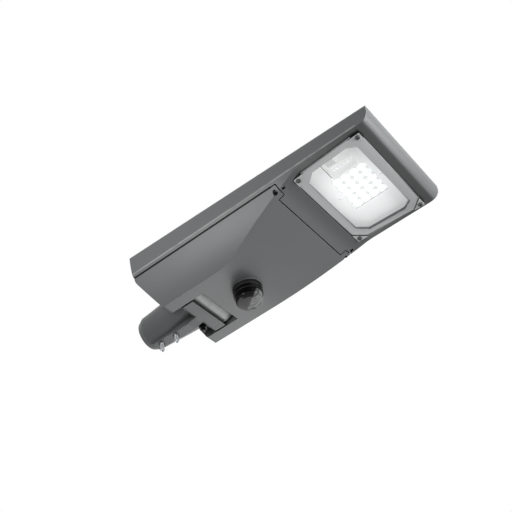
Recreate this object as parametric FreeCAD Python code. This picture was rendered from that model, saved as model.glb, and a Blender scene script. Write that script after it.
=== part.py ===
import FreeCAD, Part
import math
import os
from FreeCAD import Vector

# LED street light head for a side-entry pole arm, in millimetres.
# X runs from the arm to the optic, Y to the left, Z up. The light leaves along -Z.
# The origin is the centre of the socket's mouth, and the arm's axis is the X axis.

# Outer form of the closed body
REAR_X = 70.0
BODY_LENGTH = 498.5
ROOF_REAR_Z = 68.5
ROOF_FRONT_Z = 54.5
SIDE_HALF = 119.0
ROOF_FLARE = 2.7
FACET_TURN = 17.5
SIDE_TURN = 10.0
BOW_SHARE = 0.8
CREASE_RADIUS = 9.0
FACET_TOP_Z = 29.4
CREASE_HALF = 73.0
BELLY_Z = -34.0
BELLY_REAR_X = 93.0
REAR_KNEE_Z = 14.0
BELLY_FRONT_X = 237.4
SLOPE_DEG = 17.9
OPTIC_Z = 25.0
FASCIA_LEAN = 2.0
FASCIA_RADIUS = 22.0
BELLY_BEND_RADIUS = 150.0
RAMP_BEND_RADIUS = 55.0
REAR_HEEL_RADIUS = 8.0
ROOF_EDGE_RADIUS = 2.5
WALL = 3.2

# Parting between the housing and the gear cover
SEAM_Z = 23.3
SEAM_GAP = 1.8
COVER_FRONT_X = 368.3
EAR_REACH = 12.0
EAR_INNER = 13.0
COVER_SCREW_X = 372.5
COVER_SCREW_INSET = 11.0
COVER_SCREW_HEAD_R = 3.6
COVER_SCREW_R = 2.5
EAR_HOLE_R = 4.2
EAR_CORNER_R = 8.0
EAR_SPARE = 1.5
DRAIN_X = 387.5
DRAIN_INSET = 14.0
DRAIN_LENGTH = 6.4
DRAIN_WIDTH = 5.0

# Notch and bay round the mounting bracket
NOTCH_HALF = 49.5
NOTCH_FRONT_X = 163.5
BAY_FRONT_X = 175.0
BAY_KNEE_Z = -14.0
REAR_OPENING_Z = 54.0

# Cover hinge at the rear
HINGE_X = 71.0
KNUCKLE_R = 4.5
KNUCKLE_GAP = 0.3
LEDGE_X = 11.0
LEDGE_Z = 7.0
KNUCKLE_Y = (58.0, 66.7, 67.0, 79.0, 79.3, 88.0)
HINGE_PIN_R = 2.5
HINGE_FIT = 0.04

# Pivot between the bracket and the housing
PIVOT_X = 140.0
BARREL_R = 26.0
BARREL_HALF = 46.0
LUG_HALF = 16.0
LUG_R = 14.0
LUG_CLEARANCE = 0.3
PIVOT_BOLT_R = 5.0
PIVOT_FIT = 0.04
BARREL_SCREW_Y = 20.2
BARREL_SCREW_R = 2.5
BARREL_SCREW_HEAD_R = 4.25
BARREL_SCREW_HEAD = 5.0
BARREL_SCREW_END_X = 131.0

# Mounting bracket
BORE_R = 24.5
BORE_DEPTH = 86.0
MOUTH_R = 28.0
SOCKET_R = 32.5
SOCKET_LIP = 9.0
NECK_X = 108.0
NECK_HALF = 45.5
NECK_HALF_Z = 23.0
STATION_POINTS = 12
RIB_HALF = 10.0
RIB_Z = -34.0
RIB_STEP = 4.0
CLAMP_SCREW_X = (27.4, 61.0)
CLAMP_SCREW_R = 4.0
CLAMP_SCREW_LENGTH = 27.0
TEE_FRONT_X = 138.0
TEE_LENGTH = 25.0
TEE_THICKNESS = 4.0
LOCK_SCREW_X = 104.0
LOCK_SCREW_Y = 25.0

# Glass and optic
GLASS_Z = 22.0
GLASS_THICKNESS = 4.0
GLASS_REAR_X = 406.0
GLASS_LENGTH = 134.0
GLASS_INSET = 10.0
GLASS_TAPER = 7.5
GLASS_CORNER = 17.0
GASKET_THICKNESS = 1.5
FRAME_THICKNESS = 6.5
POCKET_CLEARANCE = 1.0
LEDGE_WIDTH = 8.0
CLIP_LEG = 20.0
CLIP_LIP = 1.9
CLIP_SCREW_INSET = 6.3
CLIP_SCREW_R = 2.0
CLIP_HEAD_R = 4.2
CLIP_HEAD_HEIGHT = 2.6

# Light engine
LED_PLACE = 0.53
LED_PITCH = 16.5
LED_ROWS = 4
LED_COLUMNS = 5
LENS_R = 7.4
LENS_HEIGHT = 4.4
DOME_SIDES = 12
LENS_PLATE_THICKNESS = 2.5
BOARD_THICKNESS = 1.6
BOARD_MARGIN = 3.5
BOARD_TONGUE = 50.0
BOARD_TONGUE_HALF = 26.0
PAD_THICKNESS = 0.5
REFLECTOR_THICKNESS = 1.2
HEAT_PAD_MARGIN = 12.0

# Control gear
TRAY_THICKNESS = 1.5
TRAY_Z = 30.0
TRAY_X = (184.0, 356.0)
TRAY_INSET = 21.0
TRAY_LIP = 6.0
TRAY_WINDOW_START = 62.0
TRAY_WINDOW_END = 30.0
TRAY_WINDOW_Y = (4.0, 30.0)
DRIVER_SIZE = (132.0, 68.0, 27.0)
DRIVER_MARGIN = 12.0
SURGE_SIZE = (58.0, 36.0, 26.0)
SURGE_MARGIN = (78.0, 18.0)
TERMINAL_SIZE = (22.0, 60.0, 18.0)
TERMINAL_MARGIN = (12.0, 8.0)
TERMINAL_POLES = 5
GLAND_Y = 32.0
GLAND_Z = 42.0
GLAND_R = 10.0
GLAND_FLATS = 24.0
BREATHER_R = 6.0
LEAD_Y = -60.0
LEAD_Z = 38.0
LEAD_R = 5.0
LEAD_FLANGE = 2.5

# Sensor socket on the cover
SENSOR_SETBACK = 48.0
SENSOR_RING_R = 26.0
SENSOR_CAP_R = 24.0
SENSOR_THREAD_R = 15.0
SENSOR_GASKET_THICKNESS = 2.0
SENSOR_SEAT_HEIGHT = 8.2
SENSOR_BASE_HEIGHT = 13.8
SENSOR_CAP_HEIGHT = 14.5
SENSOR_NECK = 20.0
SENSOR_NUT_FLATS = 38.0
SENSOR_SLOT_RING_R = 8.0
SENSOR_SLOT_R = 1.6
SENSOR_FLANGE = 5.0

# Cooling ribs on the roof
RIB_COUNT = 9
RIB_PITCH = 20.0
RIB_HEIGHT = 3.0
RIB_WIDTH = 3.2
RIB_LENGTH = 130.0

FAR = 200.0
FRONT_X = REAR_X + BODY_LENGTH
SLOPE = math.tan(math.radians(SLOPE_DEG))
ROOF_HALF = SIDE_HALF + ROOF_FLARE
COVER_SCREW_Y = SIDE_HALF - COVER_SCREW_INSET
EAR_INNER_Y = COVER_SCREW_Y - EAR_INNER
DRAIN_Y = SIDE_HALF - DRAIN_INSET
GLASS_FRONT_HALF = SIDE_HALF - GLASS_INSET
GLASS_REAR_HALF = GLASS_FRONT_HALF - GLASS_TAPER
TRAY_HALF = SIDE_HALF - TRAY_INSET
LED_CENTRE_X = GLASS_REAR_X + GLASS_LENGTH * LED_PLACE
SENSOR_CENTRE_X = BAY_FRONT_X + SENSOR_SETBACK
DRIVER_CORNER = (TRAY_X[0] + DRIVER_MARGIN, DRIVER_MARGIN - TRAY_HALF)
SURGE_CORNER = (TRAY_X[0] + SURGE_MARGIN[0], TRAY_HALF - SURGE_MARGIN[1] - SURGE_SIZE[1])
TERMINAL_CORNER = (TRAY_X[0] + TERMINAL_MARGIN[0], TRAY_HALF - TERMINAL_MARGIN[1] - TERMINAL_SIZE[1])
ROOF_FALL = (ROOF_REAR_Z - ROOF_FRONT_Z) / BODY_LENGTH
GLASS_FRONT_X = GLASS_REAR_X + GLASS_LENGTH
SEAT_Z = GLASS_Z + GLASS_THICKNESS + GASKET_THICKNESS
FRAME_TOP_Z = OPTIC_Z + FRAME_THICKNESS
COVER_TOP_Z = SEAM_Z - SEAM_GAP
EAR_FRONT_X = COVER_FRONT_X + EAR_REACH
LENS_TOP_Z = FRAME_TOP_Z + REFLECTOR_THICKNESS + 0.9
BOARD_Z = LENS_TOP_Z + LENS_PLATE_THICKNESS
HEAT_PAD_Z = BOARD_Z + BOARD_THICKNESS + PAD_THICKNESS
SIDES = (-1, 1)


def side_point(u, v):
    return Vector(u, 0, v)


def section_point(u, v):
    return Vector(0, u, v)


def plan_point(u, v):
    return Vector(u, v, 0)


def box(x0, x1, y0, y1, z0, z1):
    return Part.makeBox(x1 - x0, y1 - y0, z1 - z0, Vector(x0, y0, z0))


def rod(radius, start, end):
    """Round bar between two points."""
    axis = end - start
    return Part.makeCylinder(radius, axis.Length, start, axis)


def upright(radius, x, y, z0, z1):
    return rod(radius, Vector(x, y, z0), Vector(x, y, z1))


def crosswise(radius, x, z, y0, y1):
    return rod(radius, Vector(x, y0, z), Vector(x, y1, z))


def hexagon(across_flats, base, height):
    """Upright hexagonal prism that stands on base."""
    reach = across_flats / math.sqrt(3)
    turns = [math.radians(60 * i) for i in range(7)]
    ring = [base + Vector(reach * math.cos(a), reach * math.sin(a), 0) for a in turns]
    return Part.Face(Part.makePolygon(ring)).extrude(Vector(0, 0, height))


def rounded_wire(corners, place):
    """Closed wire through corners (u, v, radius), with a tangent arc at each radius."""
    stations = []
    for i, (u, v, radius) in enumerate(corners):
        here = Vector(u, v, 0)
        if radius <= 0:
            stations.append((here, here, here))
            continue
        back = Vector(corners[i - 1][0], corners[i - 1][1], 0) - here
        after = corners[(i + 1) % len(corners)]
        ahead = Vector(after[0], after[1], 0) - here
        back.normalize()
        ahead.normalize()
        half = back.getAngle(ahead) / 2
        bisector = (back + ahead).normalize()
        reach = radius / math.tan(half)
        middle = here + bisector * (radius / math.sin(half) - radius)
        stations.append((here + back * reach, middle, here + ahead * reach))
    edges = []
    for i, (entry, middle, leave) in enumerate(stations):
        start = stations[i - 1][2]
        if start.distanceToPoint(entry) > 1e-6:
            edges.append(Part.makeLine(place(start.x, start.y), place(entry.x, entry.y)))
        if entry.distanceToPoint(leave) > 1e-6:
            arc = [place(p.x, p.y) for p in (entry, middle, leave)]
            edges.append(Part.Arc(*arc).toShape())
    return Part.Wire(edges)


def inset_corners(corners, inset):
    """Corners of the parallel outline, inset to the left of a counterclockwise outline."""
    moved = []
    count = len(corners)
    for i, (u, v, radius) in enumerate(corners):
        before = Vector(u - corners[i - 1][0], v - corners[i - 1][1], 0).normalize()
        after = corners[(i + 1) % count]
        ahead = Vector(after[0] - u, after[1] - v, 0).normalize()
        turn = before.cross(ahead).z
        shift = inset / (1 + before.dot(ahead))
        normal = Vector(-before.y - ahead.y, before.x + ahead.x, 0)
        if radius > 0:
            radius = max(radius - inset, 0) if turn > 0 else radius + inset
        moved.append((u + normal.x * shift, v + normal.y * shift, radius))
    return moved


def prism(corners, z0, z1):
    """Upright prism on a plan outline."""
    wire = rounded_wire(corners, plan_point)
    wire.translate(Vector(0, 0, z0))
    return Part.Face(wire).extrude(Vector(0, 0, z1 - z0))


def side_prism(corners, y0, y1):
    """Prism across the body on a side-view outline."""
    wire = rounded_wire(corners, side_point)
    wire.translate(Vector(0, y0, 0))
    return Part.Face(wire).extrude(Vector(0, y1 - y0, 0))


def revolve_profile(points, x):
    """Solid of revolution about an upright axis at x, from (radius, z) points."""
    ring = [Vector(x + r, 0, z) for r, z in points]
    face = Part.Face(Part.makePolygon(ring + [ring[0]]))
    return face.revolve(Vector(x, 0, 0), Vector(0, 0, 1), 360)


def mirrored(shape):
    return shape.mirror(Vector(0, 0, 0), Vector(0, 1, 0))


def joined(first, *others):
    """One shape, fused piece by piece so that the lofted flare keeps its faces."""
    for piece in others:
        first = first.fuse(piece)
    return first


def pierced(body, cuts):
    for cut in cuts:
        body = body.cut(cut)
    return body


def roof_z(x):
    return ROOF_REAR_Z - ROOF_FALL * (x - REAR_X)


def bowed(start, end, turn_deg):
    """Corner of a bowed side: the outward point whose arc turns by turn_deg from start to end."""
    span = end - start
    out = Vector(span.y, -span.x, 0).normalize()
    rise = span.Length / 2 * math.tan(math.radians(turn_deg / 2))
    corner = (start + end) / 2 + out * rise
    reach = BOW_SHARE * (end - corner).Length
    return corner, reach / math.tan(math.radians(turn_deg / 2))


def beyond(start, end, v):
    """Point at height v on the line from start through end."""
    return end + (end - start) * ((v - end.y) / (end.y - start.y))


def side_corners():
    optic_x = BELLY_FRONT_X + (OPTIC_Z - BELLY_Z) / SLOPE
    return [
        (REAR_X, REAR_KNEE_Z, 12.0),
        (BELLY_REAR_X, BELLY_Z, REAR_HEEL_RADIUS),
        (BELLY_FRONT_X, BELLY_Z, BELLY_BEND_RADIUS),
        (optic_x, OPTIC_Z, RAMP_BEND_RADIUS),
        (FRONT_X - FASCIA_LEAN, OPTIC_Z, FASCIA_RADIUS),
        (FRONT_X, ROOF_FRONT_Z, 0),
        (REAR_X, ROOF_REAR_Z, 0),
    ]


def section_corners():
    """Cross-section: a bowed facet up to the crease and a bowed side wall above it."""
    crease = Vector(CREASE_HALF, BELLY_Z, 0)
    shoulder = Vector(SIDE_HALF, FACET_TOP_Z, 0)
    eaves = Vector(ROOF_HALF, ROOF_REAR_Z, 0)
    facet, facet_radius = bowed(crease, shoulder, FACET_TURN)
    wall, wall_radius = bowed(shoulder, eaves, SIDE_TURN)
    low = beyond(facet, crease, BELLY_Z - 10)
    top = beyond(wall, eaves, ROOF_REAR_Z + 10)
    right = [
        (low.x, low.y, 0),
        (facet.x, facet.y, facet_radius),
        (shoulder.x, shoulder.y, CREASE_RADIUS),
        (wall.x, wall.y, wall_radius),
        (top.x, top.y, 0),
    ]
    left = [(-u, v, radius) for u, v, radius in reversed(right)]
    return right + left


def hull(inset):
    """The closed body's form, drawn in by inset on every side."""
    side = side_prism(inset_corners(side_corners(), inset), -FAR, FAR)
    wire = rounded_wire(inset_corners(section_corners(), inset), section_point)
    section = Part.Face(wire).extrude(Vector(FRONT_X + FAR, 0, 0))
    return side.common(section)


def outer_hull():
    """The body's form with the roof's long edges rounded."""
    form = hull(0)
    edges = []
    for edge in form.Edges:
        middle = edge.valueAt((edge.FirstParameter + edge.LastParameter) / 2)
        on_roof = abs(middle.z - roof_z(middle.x)) < 0.01
        if on_roof and edge.BoundBox.XLength > BODY_LENGTH / 2:
            edges.append(edge)
    return form.makeFillet(ROOF_EDGE_RADIUS, edges)


def cover_outline(outset):
    """Plan outline that the gear cover stays in, with its two screw ears."""
    outer_y = COVER_SCREW_Y + EAR_CORNER_R + EAR_SPARE
    corners = [
        (REAR_X - 40, -outer_y, 0),
        (EAR_FRONT_X, -outer_y, EAR_CORNER_R),
        (EAR_FRONT_X, -EAR_INNER_Y, 1.0),
        (COVER_FRONT_X, -EAR_INNER_Y, 1.0),
        (COVER_FRONT_X, EAR_INNER_Y, 1.0),
        (EAR_FRONT_X, EAR_INNER_Y, 1.0),
        (EAR_FRONT_X, outer_y, EAR_CORNER_R),
        (REAR_X - 40, outer_y, 0),
    ]
    return inset_corners(corners, -outset)


def notch_corners():
    """Side view of the room round the bracket, from the open rear to the bay's front."""
    return [
        (REAR_X - 40, BELLY_Z - 30, 0),
        (NOTCH_FRONT_X, BELLY_Z - 30, 0),
        (NOTCH_FRONT_X, BELLY_Z + 2, 0),
        (BAY_FRONT_X, BAY_KNEE_Z, 0),
        (BAY_FRONT_X, ROOF_REAR_Z + 20, 0),
        (REAR_X - 40, ROOF_REAR_Z + 20, 0),
    ]


def glass_corners(inset, corner):
    """Trapezium of the glass, inset by a margin, with its corners cut off."""
    rear = GLASS_REAR_X + inset
    front = GLASS_FRONT_X - inset
    taper = (GLASS_FRONT_HALF - GLASS_REAR_HALF) / GLASS_LENGTH

    def half(x):
        return GLASS_REAR_HALF + taper * (x - GLASS_REAR_X) - inset

    points = [
        (rear, half(rear) - corner),
        (rear + corner, half(rear + corner)),
        (front - corner, half(front - corner)),
        (front, half(front) - corner),
    ]
    if corner <= 0:
        points = [(rear, half(rear)), (front, half(front))]
    left = [(x, y, 2.0) for x, y in reversed(points)]
    right = [(x, -y, 2.0) for x, y in points]
    return right + left


def lug_slot():
    """Open channel through neck and barrel for the housing's lug and the supply cable."""
    half = LUG_HALF + LUG_CLEARANCE
    return box(BORE_DEPTH - 1, PIVOT_X + BARREL_R + 1, -half, half, -LUG_R - 3, FAR)


def barrel_screw_bars(clearance):
    """Heads and shanks of the two screws that hold the barrel, grown by a clearance."""
    bars = []
    for side in SIDES:
        y = side * BARREL_SCREW_Y
        under_head = BORE_DEPTH + BARREL_SCREW_HEAD
        seat = Vector(under_head, y, 0)
        tip = Vector(BARREL_SCREW_END_X, y, 0)
        bars.append(rod(BARREL_SCREW_HEAD_R + clearance, Vector(BORE_DEPTH, y, 0), seat))
        bars.append(rod(BARREL_SCREW_R + clearance, seat, tip))
    return bars


def make_mounting_bracket():
    """Clamped socket, flared neck, barrel saddle and tee plate, cast as one."""
    def station(x, half_y, half_z, power):
        points = []
        for i in range(STATION_POINTS):
            angle = math.radians(360 * (i + 0.5) / STATION_POINTS)
            c = math.cos(angle)
            s = math.sin(angle)
            y = half_y * math.copysign(abs(c) ** (2 / power), c)
            z = half_z * math.copysign(abs(s) ** (2 / power), s)
            points.append(Vector(x, y, z))
        curve = Part.BSplineCurve()
        curve.interpolate(points, PeriodicFlag=True)
        return Part.Wire(curve.toShape())

    wires = []
    for share, power in ((0.0, 2.0), (0.33, 2.1), (0.67, 2.4), (1.0, 2.8)):
        half_y = SOCKET_R + (NECK_HALF - SOCKET_R) * share
        half_z = SOCKET_R + (NECK_HALF_Z - SOCKET_R) * share ** 2
        wires.append(station(share * NECK_X, half_y, half_z, power))
    flare = Part.makeLoft(wires, True, False)
    neck = box(NECK_X - 6, PIVOT_X, -NECK_HALF + 1, NECK_HALF - 1, -NECK_HALF_Z + 4, NECK_HALF_Z - 4)
    rib_corners = [
        (SOCKET_LIP, -SOCKET_R + 4, 0),
        (SOCKET_LIP + 5, RIB_Z - RIB_STEP / 2, 3.0),
        (CLAMP_SCREW_X[1], RIB_Z - RIB_STEP / 2, 0),
        (CLAMP_SCREW_X[1] + 4, RIB_Z - RIB_STEP, 0.8),
        (NECK_X - 12, RIB_Z - RIB_STEP, 20.0),
        (NECK_X + 4, RIB_Z, 20.0),
        (TEE_FRONT_X - 2, RIB_Z, 0),
        (TEE_FRONT_X - 2, RIB_Z + TEE_THICKNESS, 0),
        (TEE_FRONT_X - 14, RIB_Z + TEE_THICKNESS, 2.0),
        (TEE_FRONT_X - 14, -NECK_HALF_Z + 6, 0),
        (SOCKET_LIP + 4, -SOCKET_R + 8, 0),
    ]
    rib = side_prism(rib_corners, -RIB_HALF, RIB_HALF)
    rear_x = TEE_FRONT_X - TEE_LENGTH
    tee_corners = [
        (rear_x, RIB_Z + 2, 1.0),
        (rear_x + 4, RIB_Z, 2.0),
        (TEE_FRONT_X, RIB_Z, 0),
        (TEE_FRONT_X, RIB_Z + TEE_THICKNESS, 0.8),
        (TEE_FRONT_X - 14, RIB_Z + TEE_THICKNESS, 2.0),
        (TEE_FRONT_X - 14, -NECK_HALF_Z + 8, 0),
        (rear_x, -NECK_HALF_Z + 8, 0),
    ]
    tee = side_prism(tee_corners, -BARREL_HALF, BARREL_HALF)
    boss = upright(8.0, LOCK_SCREW_X, LOCK_SCREW_Y, RIB_Z + 6, 0)
    body = joined(flare, neck, rib, tee, boss)
    saddle = crosswise(BARREL_R, PIVOT_X, 0, -BARREL_HALF - 1, BARREL_HALF + 1)
    bore = rod(BORE_R, Vector(-1, 0, 0), Vector(BORE_DEPTH, 0, 0))
    steep = (SOCKET_R - MOUTH_R) / SOCKET_LIP
    cone_r = MOUTH_R - 5 * steep
    collar = rod(FAR, Vector(-5, 0, 0), Vector(SOCKET_LIP + 7, 0, 0))
    collar = collar.cut(Part.makeCone(cone_r, cone_r + (SOCKET_LIP + 12) * steep, SOCKET_LIP + 12,
                                      Vector(-5, 0, 0), Vector(1, 0, 0)))
    cuts = [saddle, bore, collar, lug_slot()] + barrel_screw_bars(0.02)
    for x in CLAMP_SCREW_X:
        cuts.append(upright(CLAMP_SCREW_R + 0.02, x, 0, RIB_Z - RIB_STEP - 1, 0))
        cuts.append(upright(CLAMP_SCREW_R + 1.6, x, 0, RIB_Z - RIB_STEP - 1, RIB_Z))
    cuts.append(upright(CLAMP_SCREW_R + 0.02, LOCK_SCREW_X, LOCK_SCREW_Y, RIB_Z, -8))
    return pierced(body, cuts)


def make_pivot_barrel():
    """Bare cross barrel in the bracket's saddle, slotted for the housing's lug."""
    barrel = crosswise(BARREL_R, PIVOT_X, 0, -BARREL_HALF, BARREL_HALF)
    pin = crosswise(PIVOT_BOLT_R + PIVOT_FIT, PIVOT_X, 0, -BARREL_HALF - 1, BARREL_HALF + 1)
    cuts = [lug_slot(), pin] + barrel_screw_bars(0.02)
    for side in SIDES:
        end = side * BARREL_HALF
        cuts.append(crosswise(9.0, PIVOT_X, 0, min(end, end - side * 8), max(end, end - side * 8)))
    return pierced(barrel, cuts)


def make_barrel_screws():
    """Socket head screws that go in through the arm's bore."""
    heads_and_shanks = barrel_screw_bars(0)
    screws = []
    for i, side in enumerate(SIDES):
        head, shank = heads_and_shanks[2 * i:2 * i + 2]
        socket = hexagon(4.0, Vector(0, 0, 0), 3.0)
        socket.rotate(Vector(0, 0, 0), Vector(0, 1, 0), 90)
        socket.translate(Vector(BORE_DEPTH, side * BARREL_SCREW_Y, 0))
        screws.append(head.fuse(shank).cut(socket).removeSplitter())
    return Part.makeCompound(screws)


def set_screw(x, y, top_z, length):
    """Hexagon socket set screw that points up."""
    screw = upright(CLAMP_SCREW_R, x, y, top_z - length, top_z)
    socket = hexagon(4.0, Vector(x, y, top_z - length), 4.0)
    return screw.cut(socket)


def make_clamp_screws():
    screws = [set_screw(x, 0, -BORE_R, CLAMP_SCREW_LENGTH) for x in CLAMP_SCREW_X]
    return Part.makeCompound(screws)


def make_tilt_lock_screw():
    x = LOCK_SCREW_X
    y = LOCK_SCREW_Y
    head_z = RIB_Z + 6 - 5.5
    head = hexagon(13.0, Vector(x, y, head_z), 5.5)
    shank = upright(CLAMP_SCREW_R, x, y, head_z - 6, -10)
    return head.fuse(shank).removeSplitter()


def make_pivot_bolt():
    """Shoulder bolt with its hexagon head sunk in the barrel's left end."""
    reach = BARREL_HALF - 8
    shank = crosswise(PIVOT_BOLT_R, PIVOT_X, 0, -BARREL_HALF + 1, reach)
    head = crosswise(8.0, PIVOT_X, 0, reach, BARREL_HALF - 2)
    socket = crosswise(4.0, PIVOT_X, 0, BARREL_HALF - 5, BARREL_HALF)
    return shank.fuse(head).cut(socket).removeSplitter()


def make_pivot_nut():
    start = -BARREL_HALF + 1.5
    nut = crosswise(8.0, PIVOT_X, 0, start, -BARREL_HALF + 8)
    return nut.cut(crosswise(PIVOT_BOLT_R + 0.02, PIVOT_X, 0, start - 1, -BARREL_HALF + 9))


def hinge_knuckles(first, grow):
    """Knuckles of one leaf on both sides: the outer pair (first 0) or the middle one (first 1)."""
    spans = [(KNUCKLE_Y[0], KNUCKLE_Y[1]), (KNUCKLE_Y[4], KNUCKLE_Y[5])]
    if first:
        spans = [(KNUCKLE_Y[2], KNUCKLE_Y[3])]
    radius = KNUCKLE_R + grow
    knuckles = []
    for low, high in spans:
        for side in SIDES:
            ends = sorted((side * (low - grow), side * (high + grow)))
            knuckles.append(crosswise(radius, HINGE_X, SEAM_Z, ends[0], ends[1]))
    return knuckles


def make_hinge_pins():
    pins = []
    for side in SIDES:
        ends = sorted((side * (KNUCKLE_Y[0] - 1), side * (KNUCKLE_Y[5] + 1)))
        pins.append(crosswise(HINGE_PIN_R, HINGE_X, SEAM_Z, ends[0], ends[1]))
    return Part.makeCompound(pins)


def hinge_bores(clearance):
    bores = []
    for side in SIDES:
        ends = sorted((side * (KNUCKLE_Y[0] - 3), side * (KNUCKLE_Y[5] + 3)))
        bores.append(crosswise(HINGE_PIN_R + clearance, HINGE_X, SEAM_Z, ends[0], ends[1]))
    return bores


def cooling_ribs():
    """Low round-ended ribs on the roof above the light engine."""
    start = LED_CENTRE_X - RIB_LENGTH / 2
    end = LED_CENTRE_X + RIB_LENGTH / 2
    ribs = []
    for i in range(RIB_COUNT):
        y = (i - (RIB_COUNT - 1) / 2) * RIB_PITCH
        corners = [
            (start, roof_z(start) - 1, 0),
            (end, roof_z(end) - 1, 0),
            (end - 6, roof_z(end - 6) + RIB_HEIGHT, 3.0),
            (start + 6, roof_z(start + 6) + RIB_HEIGHT, 3.0),
        ]
        ribs.append(side_prism(corners, y - RIB_WIDTH / 2, y + RIB_WIDTH / 2))
    return ribs


def clip_screw_places():
    places = []
    for x, half in ((GLASS_REAR_X + CLIP_SCREW_INSET, GLASS_REAR_HALF),
                    (GLASS_FRONT_X - CLIP_SCREW_INSET, GLASS_FRONT_HALF)):
        for side in SIDES:
            places.append((x, side * (half - CLIP_SCREW_INSET)))
    return places


def tray_boss_places():
    return [(x, side * (TRAY_HALF - 8)) for x in (TRAY_X[0] + 8, TRAY_X[1] - 8) for side in SIDES]


def heat_pad_box(z0, z1):
    """Block that carries the light engine, from height z0 to z1."""
    half_x = LED_PITCH * LED_ROWS / 2 + HEAT_PAD_MARGIN
    half_y = LED_PITCH * LED_COLUMNS / 2 + HEAT_PAD_MARGIN
    main = box(LED_CENTRE_X - half_x, LED_CENTRE_X + half_x, -half_y, half_y, z0, z1)
    tongue = box(LED_CENTRE_X - BOARD_TONGUE_HALF - 2, LED_CENTRE_X + BOARD_TONGUE_HALF + 2,
                 -half_y - BOARD_TONGUE + HEAT_PAD_MARGIN, 0, z0, z1)
    return main.fuse(tongue)


def make_upper_housing():
    """Roof, side walls, chin and optic frame, with the bay and the pivot lug inside."""
    outside = outer_hull()
    inside = hull(WALL)
    shell = outside.cut(inside)
    keep = hull(WALL / 2)
    ceiling = ROOF_REAR_Z + 5
    parts = []
    parts.append(box(COVER_FRONT_X + SEAM_GAP, COVER_FRONT_X + SEAM_GAP + WALL, -FAR, FAR, BELLY_Z, ceiling))
    parts.append(box(COVER_FRONT_X - 6, COVER_FRONT_X + SEAM_GAP + WALL, -FAR, FAR, SEAM_Z, SEAM_Z + WALL))
    parts.append(box(REAR_X, REAR_X + LEDGE_X, -FAR, FAR, SEAM_Z, SEAM_Z + LEDGE_Z))
    for side in SIDES:
        ys = sorted((side * (EAR_INNER_Y - 4.5), side * FAR))
        parts.append(box(COVER_FRONT_X + SEAM_GAP, EAR_FRONT_X + 4.5, ys[0], ys[1], BELLY_Z, SEAM_Z + WALL))
        parts.append(upright(7.0, COVER_SCREW_X, side * COVER_SCREW_Y, SEAM_Z, SEAM_Z + 16))
    parts.append(box(GLASS_REAR_X - 6, FRONT_X, -FAR, FAR, OPTIC_Z - 9, FRAME_TOP_Z))
    bay = side_prism(inset_corners(notch_corners(), -WALL), -NOTCH_HALF - WALL, NOTCH_HALF + WALL)
    parts.append(bay.common(box(0, FAR, -FAR, FAR, SEAM_Z, ceiling)))
    parts.append(heat_pad_box(HEAT_PAD_Z, ceiling))
    for x, y in tray_boss_places():
        parts.append(upright(6.0, x, y, TRAY_Z + TRAY_THICKNESS, ceiling))
    body = shell.fuse([piece.common(keep) for piece in parts])
    body = body.fuse([piece.common(hull(-RIB_HEIGHT - 1)) for piece in cooling_ribs()])
    room = box(REAR_X + WALL, BAY_FRONT_X, -NOTCH_HALF, NOTCH_HALF, BELLY_Z, FAR).common(inside)
    doorway = box(REAR_X - 5, REAR_X + WALL + 1, -NOTCH_HALF, NOTCH_HALF, BELLY_Z, REAR_OPENING_Z)
    zone = prism(cover_outline(SEAM_GAP), BELLY_Z - 20, SEAM_Z)
    pocket = prism(glass_corners(-POCKET_CLEARANCE, 0), GLASS_Z - 9, SEAT_Z)
    window = prism(glass_corners(LEDGE_WIDTH, GLASS_CORNER), GLASS_Z - 9, FRAME_TOP_Z + 1)
    body = body.cut([room, doorway, zone, pocket, window])
    lug_top = box(PIVOT_X - LUG_R, PIVOT_X + LUG_R, -LUG_HALF, LUG_HALF, 0, ceiling).common(keep)
    lug_end = crosswise(LUG_R, PIVOT_X, 0, -LUG_HALF, LUG_HALF)
    body = body.fuse([lug_top, lug_end] + hinge_knuckles(0, 0))
    cuts = hinge_knuckles(1, KNUCKLE_GAP) + hinge_bores(0.01)
    cuts.append(crosswise(PIVOT_BOLT_R + PIVOT_FIT, PIVOT_X, 0, -LUG_HALF - 1, LUG_HALF + 1))
    for side in SIDES:
        cuts.append(upright(COVER_SCREW_R, COVER_SCREW_X, side * COVER_SCREW_Y, SEAM_Z - 5, SEAM_Z + 13))
    for x, y in clip_screw_places():
        cuts.append(upright(CLIP_SCREW_R, x, y, GLASS_Z, FRAME_TOP_Z + 1))
    for x, y in tray_boss_places():
        cuts.append(upright(2.0, x, y, TRAY_Z - 1, TRAY_Z + 12))
    for radius, y in ((GLAND_R - 2, GLAND_Y), (BREATHER_R, -GLAND_Y)):
        start = Vector(BAY_FRONT_X - 2, y, GLAND_Z)
        cuts.append(rod(radius, start, start + Vector(WALL + 4, 0, 0)))
    for side in SIDES:
        y = side * DRAIN_Y
        cuts.append(box(DRAIN_X - DRAIN_LENGTH / 2, DRAIN_X + DRAIN_LENGTH / 2,
                        y - DRAIN_WIDTH / 2, y + DRAIN_WIDTH / 2, BELLY_Z, SEAM_Z))
    lead = Vector(COVER_FRONT_X + SEAM_GAP, LEAD_Y, LEAD_Z)
    cuts.append(rod(LEAD_R, lead - Vector(2, 0, 0), lead + Vector(WALL + 2, 0, 0)))
    return body.cut(cuts).removeSplitter()


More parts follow.
